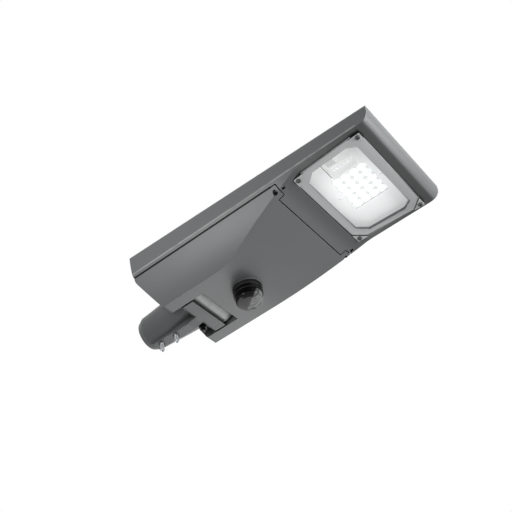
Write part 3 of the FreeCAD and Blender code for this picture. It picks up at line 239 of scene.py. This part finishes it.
@dataclass(frozen=True)
class Coat(Finish):
    """Powder coat with tones matched to the photograph.

    They are painted shade on a darker frame round the glass, a painted highlight as a pale line
    on the side's crease, and painted shade as a black band along the seam. Heights and places
    are in millimetres on object coordinates.
    """

    frame_x: tuple[float, float, float] = (372.0, 402.0, 548.0)
    frame_z: float = 26.2
    frame_share: tuple[float, float] = (0.42, 0.78)
    crease_z: float = 29.3
    crease_half: float = 1.1
    crease_share: float = 0.42
    seam_z: tuple[float, float] = (20.85, 23.95)
    seam_x: float = 371.0
    side_y: float = 100.0
    pale: str = "d2d3d3"
    black: str = "070707"

    def tone(self, tree: bpy.types.NodeTree, bevelled: bpy.types.NodeSocket | None) -> bpy.types.NodeSocket:
        """Colour of the coat with painted shade on its frame and seam and a painted highlight on its
        crease.

        Args:
            tree: the material's tree.
            bevelled: the rounded normal.

        Returns:
            The colour socket.
        """
        colour = super().tone(tree, bevelled)
        base = linear(self.colour)[:3]
        place = add(tree, "SeparateXYZ", {0: add(tree, "TexCoord").outputs["Object"]}).outputs
        x, z = place["X"], place["Z"]
        side = add(tree, "Math", {0: place["Y"]}, operation="ABSOLUTE").outputs[0]
        outer = smooth(tree, side, self.side_y * MM, (self.side_y + 1) * MM)
        # Painted shade: the low faces round the glass darken towards the front.
        near, start, end = self.frame_x
        grow = smooth(tree, x, near * MM, start * MM, 0.0, self.frame_share[0])
        more = smooth(tree, x, start * MM, end * MM, 0.0, self.frame_share[1] - self.frame_share[0])
        under = smooth(tree, z, self.frame_z * MM, (self.frame_z + 2.5) * MM, 1.0, 0.0)
        frame_shade = add(tree, "Math", {0: grow, 1: more}, operation="ADD").outputs[0]
        frame_shade = product(tree, frame_shade, under)
        colour = blended(tree, frame_shade, colour, [c * 0.06 for c in base] + [1.0])
        # Painted highlight: a pale line along the side's crease, broken up by noise, ending short of the
        # front.
        uneven = smooth(tree, grain(tree, 14), 0.25, 0.6, 0.35, 1.0)
        crease = self.band(tree, z, (self.crease_z - self.crease_half, self.crease_z + self.crease_half))
        behind = smooth(tree, x, (end - 10) * MM, (end - 4) * MM, 1.0, 0.0)
        crease = product(tree, crease, outer, behind, uneven, self.crease_share)
        colour = blended(tree, crease, colour, linear(self.pale))
        # Painted shade: a black band along the side seam, behind its front end.
        seam = self.band(tree, z, self.seam_z)
        rear = smooth(tree, x, (self.seam_x - 1) * MM, self.seam_x * MM, 1.0, 0.0)
        return blended(tree, product(tree, seam, outer, rear), colour, linear(self.black))

    @staticmethod
    def band(tree: bpy.types.NodeTree, value: bpy.types.NodeSocket,
             ends: tuple[float, float]) -> bpy.types.NodeSocket:
        """One between two heights in millimetres, with a soft end on each side."""
        low = smooth(tree, value, (ends[0] - 0.3) * MM, ends[0] * MM)
        high = smooth(tree, value, ends[1] * MM, (ends[1] + 0.3) * MM, 1.0, 0.0)
        return product(tree, low, high)


# Polyester powder coat on die-cast aluminium: satin, with a fine orange peel that softens reflections.
# The coat carries a painted highlight on its edges and its crease, and painted shade in its crevices, round
# the glass and along the seam.
POWDER_COAT = Coat("satin powder coat on die-cast aluminium", "6f7172", 0.43, grain_mm=1.2,
                   grain_depth_mm=0.015, tone_mm=70, tone_spread=0.04, edge_mm=0.6, edge_highlight=0.35,
                   crevice_shade=0.9)
# The same coat on the bracket: its darker grey is painted shade, matched to the photograph.
SHADED_BRACKET_COAT = Coat("satin powder coat on the bracket", "5d5f60", 0.45, grain_mm=1.2, grain_depth_mm=0.015,
                    tone_mm=50, tone_spread=0.05, edge_mm=0.6, edge_highlight=0.35, crevice_shade=0.9)
# Zinc plated steel: pale, slightly bluish metal with a faint grain.
ZINC = Finish("zinc plated steel", "a9abad", 0.3, 1.0, grain_mm=0.8, grain_depth_mm=0.01, edge_mm=0.3)
# Black oxide on steel screws: near black with a dull metal sheen.
BLACK_OXIDE = Finish("black oxide steel", "121213", 0.42, 0.5, grain_mm=0.8, grain_depth_mm=0.01,
                     edge_mm=0.2)
# Stainless steel screw heads: a mid grey metal, matched to the photograph, with softened edges.
STAINLESS = Finish("turned stainless steel", "4b4d4e", 0.4, 0.7, grain_mm=0.6, grain_depth_mm=0.01,
                   edge_mm=0.3)
# Moulded silicone: soft black with hardly any reflection.
SILICONE = Finish("moulded black silicone", "0b0b0b", 0.8, ior=1.4, grain_mm=1.5, grain_depth_mm=0.02)
# Moulded nylon: black with a fine spark-eroded texture.
NYLON = Finish("moulded black nylon", "161616", 0.5, grain_mm=0.7, grain_depth_mm=0.03, edge_mm=0.3)
# The same in grey, for the terminal block.
GREY_NYLON = Finish("moulded grey nylon", "8b8d90", 0.5, grain_mm=0.7, grain_depth_mm=0.03, edge_mm=0.3)
# Sand-cast aluminium left bare: bright and mottled, with a rough skin.
CAST_ALUMINIUM = Finish("bare cast aluminium", "b2b3b3", 0.55, 0.3, grain_mm=1.5, grain_depth_mm=0.12,
                        tone_mm=7, tone_spread=0.3, edge_mm=0.5)
# Polished black polycarbonate: sharp highlights. Its IOR is set below the real one, about 1.58, so
# that the white floor greys it less.
GLOSS_BLACK = Finish("polished black polycarbonate", "050505", 0.07, ior=1.3, edge_mm=0.5)
# White solder mask on an aluminium board: a glow stands in for the light of its chips.
SOLDER_MASK = Finish("white solder mask", "d4d6d4", 0.45, grain_mm=2, grain_depth_mm=0.01, glow=0.6)
# White reflective polycarbonate: a glow stands in for the light engine and falls off outwards.
WHITE_TRAY = Finish("moulded white polycarbonate", "dcdede", 0.5, glow=0.78, glow_fall=0.28)
# White nylon of small connectors and screws: a little darker than the tray, with a glow of painted light.
WHITE_NYLON = Finish("moulded white nylon", "d0d2d2", 0.5, glow=0.72)
# Pale grey nylon: sets the connector's body off from the board, with a glow of painted light.
PALE_NYLON = Finish("moulded pale grey nylon", "bcbebe", 0.5, glow=0.62)
# Clear acrylic lenses over lit phosphor: milky white, made by a glow and not by clear plastic.
LENS = Finish("moulded acrylic lens over a lit chip", "e8eaea", 0.12, ior=1.49, glow=0.95)
# The plate that carries them: the same acrylic, less bright, with a glow of painted light.
LENS_PLATE = Finish("moulded acrylic plate", "c9cbcb", 0.2, ior=1.49, glow=0.8)
# Lit phosphor under the lenses: warm white.
PHOSPHOR = Finish("lit phosphor", "fff4d8", 0.4, glow=2.0)
# Zinc coated folded sheet with a faint spangle.
TRAY_STEEL = Finish("galvanised sheet steel", "a5a8aa", 0.42, 0.9, grain_mm=5, grain_depth_mm=0.01,
                    tone_mm=9, tone_spread=0.08, edge_mm=0.3)
# Aluminium case of the driver: brighter and smoother than the tray.
DRIVER_CASE = Finish("brushed aluminium case", "b5b7b9", 0.38, 0.9, grain_mm=0.6, grain_depth_mm=0.01,
                     edge_mm=0.6)
# Thermal pad: flat mid grey, hidden behind the board.
THERMAL = Finish("grey silicone thermal pad", "707478", 0.7)


@dataclass(frozen=True)
class GlassFinish:
    """Toughened glass whose border is printed in translucent grey round a clear window.

    The window is the region inside all of a set of straight lines. The smallest distance
    inside the lines, in millimetres, drives the colour: grey print outside, a dark line of
    painted shade at the print's edge and round the clips, and clear glass further in. The line
    is painted shade and not print, strongest on the left side, as in the photograph.
    """

    name: str = "toughened glass with printed border"
    outer_colour: str = "c2c4c5"
    inner_colour: str = "b6b8b9"
    shade_line_colour: str = "4a4c4e"
    border_mm: float = 15.0
    line_mm: float = 0.6
    line_strength: float = 0.8
    clip_leg_mm: float = 20.0
    taper_mm: float = 7.5
    haze: float = 0.06
    corners: tuple[tuple[float, float], ...] = (
        (420, -74), (438, -92), (508, -95), (522, -84), (524, 84), (508, 95), (438, 91), (420, 72))

    def clip_lines(self) -> list[tuple[float, float]]:
        """The octagon left between the corner clips, in millimetres."""
        low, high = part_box("glass_cover")
        x0, x1, y = low[0] / MM, high[0] / MM, high[1] / MM
        rear = y - self.taper_mm
        leg = self.clip_leg_mm
        return [(x0, -rear + leg), (x0 + leg, -rear), (x1 - leg, -y), (x1, -y + leg),
                (x1, y - leg), (x1 - leg, y), (x0 + leg, rear), (x0, rear - leg)]

    def depth(self, tree: bpy.types.NodeTree, where: bpy.types.NodeSocket,
              corners: Sequence[tuple[float, float]]) -> bpy.types.NodeSocket:
        """Distance inside a ring of straight lines, in millimetres.

        Args:
            tree: the material's tree.
            where: object coordinates in metres.
            corners: the ring's corners, counter-clockwise.

        Returns:
            The smallest of the distances to the lines.
        """
        inside = None
        count = len(corners)
        for i in range(count):
            x0, y0 = corners[i]
            x1, y1 = corners[(i + 1) % count]
            run = math.hypot(x1 - x0, y1 - y0)
            nx, ny = -(y1 - y0) / run, (x1 - x0) / run
            dot = add(tree, "VectorMath", {0: where, 1: (nx / MM, ny / MM, 0)}, operation="DOT_PRODUCT")
            line = add(tree, "Math", {0: dot.outputs["Value"], 1: nx * x0 + ny * y0}, operation="SUBTRACT")
            if inside is None:
                inside = line.outputs[0]
            else:
                inside = add(tree, "Math", {0: inside, 1: line.outputs[0]}, operation="MINIMUM").outputs[0]
        return inside

    def material(self) -> bpy.types.Material:
        """Builds the material.

        Returns:
            The glass material, whose alpha is low inside the window.
        """
        known = bpy.data.materials.get(self.name)
        if known:
            return known
        made, tree = new_tree(self.name)
        where = add(tree, "TexCoord").outputs["Object"]
        inside = self.depth(tree, where, self.corners)
        cover = smooth(tree, inside, -0.6, 0.6, 0.96, self.haze)
        fade = smooth(tree, inside, 0.4, self.line_mm + 1.2, 1.0, 0.0)
        begin = smooth(tree, inside, -1.2, 0.2)
        side = add(tree, "SeparateXYZ", {0: where}).outputs["Y"]
        left = smooth(tree, side, 0.0, 0.085, 0.06, 1.0)
        # Painted shade: a dark line at the window's edge and round the clips, strongest on the left.
        line = product(tree, fade, begin)
        clips = smooth(tree, self.depth(tree, where, self.clip_lines()), 0.9, 1.7, 1.0, 0.0)
        line = add(tree, "Math", {0: line, 1: clips}, operation="MAXIMUM").outputs[0]
        line = product(tree, line, left, self.line_strength)
        alpha = add(tree, "Math", {0: cover, 1: line}, operation="MAXIMUM").outputs[0]
        border = smooth(tree, inside, -self.border_mm, 0)
        colour = blended(tree, border, linear(self.outer_colour), linear(self.inner_colour))
        colour = blended(tree, line, colour, linear(self.shade_line_colour))
        shader = add(tree, "BsdfPrincipled", {
            "Base Color": colour, "Roughness": 0.2, "IOR": 1.5, "Alpha": alpha})
        add(tree, "OutputMaterial", {"Surface": shader.outputs["BSDF"]})
        return made


@dataclass(frozen=True)
class ClipFinish:
    """Bead blasted aluminium clip whose lip rests on the glass.

    Painted shade darkens the clip from a set height upwards, over the lip's edge.
    """

    name: str = "bead blasted aluminium on a silicone pad"
    colour: str = "cacccc"
    lip_shade_colour: str = "101010"
    lip_shade_top_z: float = 22.05
    lip_shade_mm: float = 1.35

    def material(self) -> bpy.types.Material:
        """Builds the material: fine blasted grain, and painted shade on the lip's edge."""
        known = bpy.data.materials.get(self.name)
        if known:
            return known
        made, tree = new_tree(self.name)
        where = add(tree, "TexCoord").outputs["Object"]
        height = add(tree, "SeparateXYZ", {0: where}).outputs["Z"]
        base = self.lip_shade_top_z - self.lip_shade_mm
        # Painted shade: the clip darkens from a set height upwards, over the lip's edge.
        pad = smooth(tree, height, (base - 0.1) * MM, (base + 0.1) * MM)
        colour = blended(tree, pad, linear(self.colour), linear(self.lip_shade_colour))
        bump = add(tree, "Bump", {"Height": grain(tree, 0.5), "Distance": 0.02 * MM})
        shader = add(tree, "BsdfPrincipled", {
            "Base Color": colour, "Roughness": 0.5, "Normal": bump.outputs["Normal"]})
        add(tree, "OutputMaterial", {"Surface": shader.outputs["BSDF"]})
        return made


@dataclass(frozen=True)
class CapFinish:
    """Clear polycarbonate cap with a black mask inside and a clear, streaked window on its left front.

    The mask ends at a tilted plane, and the streaks are stretched noise. Both are matched
    to the photograph. The IOR is set below the real one, about 1.58, so that the white floor
    greys the mask less.
    """

    name: str = "clear polycarbonate over a black mask"
    mask_colour: str = "040404"
    dim_colour: str = "3a3c3c"
    bright_colour: str = "aeb0b0"
    centre_x: float = 223.0
    facing: tuple[float, float, float] = (0.5, 0.73, -0.47)
    mask_mm: float = 2.2
    mid_z: float = -56.0
    fade_mm: float = 3.5
    ior: float = 1.25

    def material(self) -> bpy.types.Material:
        """Builds the material: gloss black mask, and the streaked window beside it."""
        known = bpy.data.materials.get(self.name)
        if known:
            return known
        made, tree = new_tree(self.name)
        where = add(tree, "TexCoord").outputs["Object"]
        ahead = add(tree, "VectorMath", {0: where, 1: self.facing}, operation="DOT_PRODUCT")
        start = self.centre_x * self.facing[0] + self.mid_z * self.facing[2] + self.mask_mm
        window = smooth(tree, ahead.outputs["Value"], start * MM, (start + self.fade_mm) * MM)
        streak_at = add(tree, "Mapping", {"Vector": where, "Rotation": (0.3, 0.5, math.radians(34)),
                                          "Scale": (70, 380, 90)})
        streak = add(tree, "TexNoise", {"Vector": streak_at.outputs[0], "Scale": 1.0, "Detail": 2.0,
                                        "Distortion": 0.6}).outputs["Fac"]
        streak = smooth(tree, streak, 0.3, 0.7)
        glassy = blended(tree, streak, linear(self.dim_colour), linear(self.bright_colour))
        colour = blended(tree, window, linear(self.mask_colour), glassy)
        shader = add(tree, "BsdfPrincipled", {"Base Color": colour, "Roughness": 0.08, "IOR": self.ior})
        add(tree, "OutputMaterial", {"Surface": shader.outputs["BSDF"]})
        return made


AnyFinish = Finish | GlassFinish | ClipFinish | CapFinish


def dress(node: str, finish: AnyFinish) -> None:
    """Gives a CAD node a finish.

    Args:
        node: the CAD node's name.
        finish: what it is made of.
    """
    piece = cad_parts[node]
    piece.data.materials.clear()
    piece.data.materials.append(finish.material())


def quads(grid: Grid) -> tuple[np.ndarray, list[list[int]]]:
    """Points in metres and faces of a grid of rings.

    Each cell (i, j) joins corners (i, j), (i, j+1), (i+1, j+1) and (i+1, j), and the last
    column joins the first.
    """
    rows, columns = grid[0].shape
    points = np.stack([axis.ravel() for axis in grid], axis=1) * MM
    i, j = np.meshgrid(np.arange(rows - 1) * columns, np.arange(columns), indexing="ij")
    k = (j + 1) % columns
    cells = np.stack([i + j, i + k, i + columns + k, i + columns + j], axis=-1)
    return points, cells.reshape(-1, 4).tolist()


def last_ring(points: np.ndarray) -> list[int]:
    """Face that closes a grid of rings at its last one."""
    return list(range(len(points) - RING_STEPS, len(points)))


def solid(name: str, points: np.ndarray, faces: list[list[int]], finish: Finish,
          body: Body) -> bpy.types.Object:
    """Makes a closed piece with outward faces.

    Args:
        name: the piece's name.
        points: vertex positions in metres.
        faces: vertex numbers of each face.
        finish: what it is made of.
        body: the body it rides on.

    Returns:
        The new object, at the origin.
    """
    mesh = bpy.data.meshes.new(name)
    mesh.from_pydata(points.tolist(), [], faces)
    mesh.materials.append(finish.material())
    piece = bpy.data.objects.new(name, mesh)
    bpy.context.scene.collection.objects.link(piece)
    work = bmesh.new()
    work.from_mesh(mesh)
    bmesh.ops.remove_doubles(work, verts=work.verts, dist=1e-6)
    bmesh.ops.recalc_face_normals(work, faces=work.faces)
    work.to_mesh(mesh)
    work.free()
    mesh.shade_smooth()
    mesh.set_sharp_from_angle(angle=math.radians(SHARP_DEG))
    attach(piece, body.value)
    log.info("%s: %d faces", name, len(mesh.polygons))
    return piece


def ring_angles() -> np.ndarray:
    """Angles of the points round a ring, as one row."""
    return np.linspace(0, 2 * np.pi, RING_STEPS, endpoint=False)[None, :]


def thread(x: float, y: float, z0: float, z1: float, radius: float, pitch: float) -> Grid:
    """Threaded shank: r = R - depth * |triangle wave of (z / pitch - angle / 2 pi)|, on a fine grid."""
    rows = int((z1 - z0) / pitch * 8)
    z = np.linspace(z0, z1, rows)[:, None]
    angle = ring_angles()
    phase = (z / pitch - angle / (2 * np.pi)) % 1.0
    depth = 0.6 * pitch * np.abs(2 * phase - 1)
    fade = np.clip(np.minimum(z - z0, z1 - z) / pitch, 0, 1)
    r = radius - depth * fade - 0.4 * (1 - fade)
    return x + r * np.cos(angle), y + r * np.sin(angle), z + 0 * angle


@dataclass
class Castings:
    """The three painted castings: housing, gear cover and bracket."""

    shell: tuple[str, ...] = ("upper_housing", "gear_cover")
    bracket: str = "mounting_bracket"

    def build(self) -> None:
        """Dresses the castings."""
        for node in self.shell:
            dress(node, POWDER_COAT)
        # The bracket's darker grey is painted shade.
        dress(self.bracket, SHADED_BRACKET_COAT)


@dataclass
class BracketFasteners:
    """Set screws, lock screw and pivot bolt on the bracket."""

    screw_x: tuple[float, float] = (27.4, 61.0)
    top_z: float = -24.5
    length: float = 27.0
    radius: float = 3.98
    pitch: float = 1.25
    rim: float = 0.9
    hexagon: float = 2.0
    hexagon_depth: float = 3.6

    def build(self) -> None:
        """Threads the two set screws and dresses the others."""
        for i, x in enumerate(self.screw_x):
            self.set_screw(f"clamp_screw_{i + 1}", x)
        for node in ("pivot_bolt", "pivot_nut", "barrel_screws"):
            dress(node, ZINC)
        dress("tilt_lock_screw", BLACK_OXIDE)
        dress("pivot_barrel", CAST_ALUMINIUM)

    def set_screw(self, name: str, x: float) -> None:
        """One threaded screw with a hexagon socket in its lower end.

        Args:
            name: the piece's name.
            x: its place along the arm.
        """
        low = self.top_z - self.length
        body = thread(x, 0, low, self.top_z, self.radius, self.pitch)
        points, faces = quads(body)
        angle = ring_angles()
        six = self.hexagon / np.cos((angle % (np.pi / 3)) - np.pi / 6)
        radius = np.vstack([np.full_like(angle, self.radius - self.rim), six, six])
        z = np.array([low, low + 0.1, low + self.hexagon_depth])[:, None] + 0 * angle
        more, extra = quads((x + radius * np.cos(angle), radius * np.sin(angle), z))
        ring = len(points)
        following = [(j + 1) % RING_STEPS for j in range(RING_STEPS)]
        bottom = [[j, k, ring + k, ring + j] for j, k in enumerate(following)]
        extra = [[ring + v for v in f] for f in extra + [last_ring(more)]]
        faces = faces + [last_ring(points)] + extra + bottom
        piece = solid(name, np.vstack([points, more]), faces, ZINC, Body.BRACKET)
        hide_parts("clamp_screws")


@dataclass
class Optic:
    """Glass, clips, screws and the light engine behind them."""

    pitch: float = 16.5
    rows: int = 4
    columns: int = 5
    lens_radius: float = 7.4
    plate_z: float = 33.6
    lens_height: float = 4.4
    lens_rings: int = 9

    def build(self) -> None:
        """Dresses the CAD nodes and adds the moulded lenses."""
        dress("glass_cover", GlassFinish())
        dress("glass_gasket", SILICONE)
        for name in ("rear_right", "rear_left", "front_right", "front_left"):
            dress("glass_clip_" + name, ClipFinish())
        dress("glass_screws", STAINLESS)
        dress("lens_plate", LENS_PLATE)
        dress("led_packages", PHOSPHOR)
        dress("led_board", SOLDER_MASK)
        dress("thermal_pad", THERMAL)
        dress("reflector_tray", WHITE_TRAY)
        dress("reflector_screws", WHITE_NYLON)
        dress("board_connector", PALE_NYLON)
        dress("board_header", WHITE_NYLON)
        self.lenses()

    def lenses(self) -> None:
        """Round lenses: z = plate - height * sqrt(1 - (r / R) ** 2.6), one grid per lens."""
        share = np.linspace(0, 1, self.lens_rings)[:, None]
        angle = ring_angles()
        radius = self.lens_radius * share
        crown = self.lens_height * np.sqrt(np.clip(1 - share ** 2.6, 0, 1))
        z = self.plate_z - 0.02 - crown + 0 * angle
        all_points = []
        all_faces = []
        for row in range(self.rows):
            for column in range(self.columns):
                x = ARRAY_X_MM + (row - (self.rows - 1) / 2) * self.pitch
                y = (column - (self.columns - 1) / 2) * self.pitch
                points, faces = quads((x + radius * np.cos(angle), y + radius * np.sin(angle), z))
                start = sum(len(p) for p in all_points)
                all_points.append(points)
                all_faces += [[start + v for v in f] for f in faces + [last_ring(points)]]
        solid("moulded_lenses", np.vstack(all_points), all_faces, LENS, Body.HOUSING)


@dataclass
class GearCompartment:
    """Control gear inside the body."""

    finishes: dict[str, Finish] = field(default_factory=lambda: {
        "gear_tray": TRAY_STEEL, "tray_screws": ZINC, "led_driver": DRIVER_CASE, "driver_screws": ZINC,
        "surge_protector": NYLON, "terminal_block": GREY_NYLON, "cable_gland": NYLON, "gland_nut": NYLON,
        "breather_valve": NYLON, "lead_grommet": SILICONE, "hinge_pins": ZINC, "cover_gasket": SILICONE,
        "cover_screws": BLACK_OXIDE,
    })

    def build(self) -> None:
        """Dresses each piece of gear."""
        for node, finish in self.finishes.items():
            dress(node, finish)


class SensorSocket:
    """Round sensor on the gear cover: gasket, base ring, clear cap and dark core."""

    def build(self) -> None:
        """Dresses the nodes."""
        dress("sensor_gasket", SILICONE)
        dress("sensor_receptacle", NYLON)
        dress("receptacle_nut", NYLON)
        dress("sensor_base", GLOSS_BLACK)
        dress("sensor_dome", CapFinish())
        dress("sensor_core", GLOSS_BLACK)


@dataclass
class Studio:
    """Floor, lamps, world and camera.

    The camera was fitted to the photograph, and so were the lamps: their places and powers
    follow its brightness on the object's faces. Each lamp is a name, place, target, width in
    metres and power in watts.
    """

    camera_mm: tuple[float, float, float] = (840.8, -1091.7, -1125.2)
    right: tuple[float, float, float] = (0.789, 0.5931, -0.1603)
    up: tuple[float, float, float] = (0.507, -0.481, 0.7153)
    back: tuple[float, float, float] = (0.3471, -0.6456, -0.6802)
    lens_mm: float = 67.69
    floor_z: float = -1.35
    floor_glow: float = 0.68
    fill: float = 0.1
    lamps: tuple[tuple[str, tuple[float, float, float], tuple[float, float, float], float, float], ...] = (
        ("front_softbox", (1.1, 0.2, -0.12), (0.57, 0, 0.03), 0.3, 2.2),
        ("front_corner", (0.84, -0.11, -0.06), (0.56, -0.09, 0.035), 0.2, 0.95),
        ("high_front", (0.74, 0.24, 0.38), (0.57, -0.08, 0.04), 0.25, 0.04),
        ("right_softbox", (0.12, -0.6, -0.12), (0.3, -0.1, 0), 0.3, 1.8),
        ("left_low", (0.2, 0.5, -0.5), (0.2, 0, 0), 0.3, 0.52),
        ("left_rear_low", (-0.11, 0.43, -0.5), (0.12, 0, 0), 0.35, 1.1),
        ("left_softbox", (-0.48, 1.14, -0.16), (0.32, 0, 0), 0.7, 2.5),
        ("top_softbox", (0.3, 0.25, 1.9), (0.3, 0, 0), 1.2, 9.0),
    )

    def build(self) -> None:
        """Sets up the whole studio."""
        self.floor()
        self.world()
        for name, place, target, size, power in self.lamps:
            self.lamp(name, place, target, size, power)
        self.camera()
        bpy.context.scene.view_settings.view_transform = "Standard"

    def floor(self) -> None:
        """A pale floor well below the object."""
        x, y = np.meshgrid([-6.0, 6.0], [-6.0, 6.0], indexing="ij")
        points = np.stack([x.ravel(), y.ravel(), np.full(4, self.floor_z)], axis=1)
        mesh = bpy.data.meshes.new("studio_floor")
        mesh.from_pydata(points.tolist(), [], [[0, 2, 3, 1]])
        mesh.materials.append(self.floor_paint())
        piece = bpy.data.objects.new("studio_floor", mesh)
        bpy.context.scene.collection.objects.link(piece)

    def floor_paint(self) -> bpy.types.Material:
        """Matt white that takes the object's shadow and is pale to the camera and in reflections.

        Returns:
            The floor's material.
        """
        made, tree = new_tree("matt white floor")
        seen = product(tree, self.seen(tree), self.floor_glow)
        matt = add(tree, "BsdfDiffuse", {"Color": linear("f4f4f4")})
        glow = add(tree, "Emission", {"Color": linear("ffffff"), "Strength": seen})
        both = add(tree, "AddShader", {0: matt.outputs[0], 1: glow.outputs[0]})
        add(tree, "OutputMaterial", {"Surface": both.outputs[0]})
        return made

    @staticmethod
    def seen(tree: bpy.types.NodeTree) -> bpy.types.NodeSocket:
        """One for camera, glossy and transmission rays, nought for the rest."""
        ray = add(tree, "LightPath").outputs
        share = ray["Is Camera Ray"]
        for kind in ("Is Transmission Ray", "Is Glossy Ray"):
            share = add(tree, "Math", {0: share, 1: ray[kind]}, operation="MAXIMUM").outputs[0]
        return share

    def world(self) -> None:
        """White to the camera and in reflections, a soft grey fill for the rest."""
        world = bpy.data.worlds.new("studio_air")
        world.use_nodes = True
        tree = world.node_tree
        tree.nodes.clear()
        fill = add(tree, "Background", {"Color": linear("ffffff"), "Strength": self.fill})
        white = add(tree, "Background", {"Color": linear("ffffff"), "Strength": 1.0})
        mix = add(tree, "MixShader", {0: self.seen(tree), 1: fill.outputs[0], 2: white.outputs[0]})
        add(tree, "OutputWorld", {"Surface": mix.outputs[0]})
        bpy.context.scene.world = world

    def lamp(self, name: str, place: tuple[float, float, float], target: tuple[float, float, float],
             size: float, power: float) -> None:
        """A square softbox that faces a target.

        Args:
            name: the lamp's name.
            place: where it stands, in metres.
            target: where it points.
            size: its width in metres.
            power: its power in watts.
        """
        light = bpy.data.lights.new(name, "AREA")
        light.shape = "SQUARE"
        light.size = size
        light.energy = power
        lamp = bpy.data.objects.new(name, light)
        lamp.visible_camera = False
        back = np.array(place) - np.array(target)
        back = back / np.linalg.norm(back)
        side = np.cross([0.0, 0.0, 1.0] if abs(back[2]) < 0.95 else [0.0, 1.0, 0.0], back)
        side = side / np.linalg.norm(side)
        up = np.cross(back, side)
        turn = Matrix(((side[0], up[0], back[0]), (side[1], up[1], back[1]), (side[2], up[2], back[2])))
        lamp.matrix_world = Matrix.Translation(place) @ turn.to_4x4()
        bpy.context.scene.collection.objects.link(lamp)

    def camera(self) -> None:
        """The photograph's viewpoint, below the head on its front right."""
        view = bpy.data.cameras.new("viewpoint")
        view.lens = self.lens_mm
        view.sensor_width = 36.0
        view.clip_end = 50
        camera = bpy.data.objects.new("viewpoint", view)
        r, u, b = self.right, self.up, self.back
        turn = Matrix(((r[0], u[0], b[0]), (r[1], u[1], b[1]), (r[2], u[2], b[2])))
        place = [c * MM for c in self.camera_mm]
        camera.matrix_world = Matrix.Translation(place) @ turn.to_4x4()
        bpy.context.scene.collection.objects.link(camera)
        bpy.context.scene.camera = camera


def main() -> None:
    """Builds each sub-assembly in order and reports it."""
    logging.basicConfig(level=logging.INFO, format="%(message)s")
    for part in (Castings(), BracketFasteners(), Optic(), GearCompartment(), SensorSocket(), Studio()):
        log.info("building %s", type(part).__name__)
        part.build()


if __name__ == "__main__":
    main()
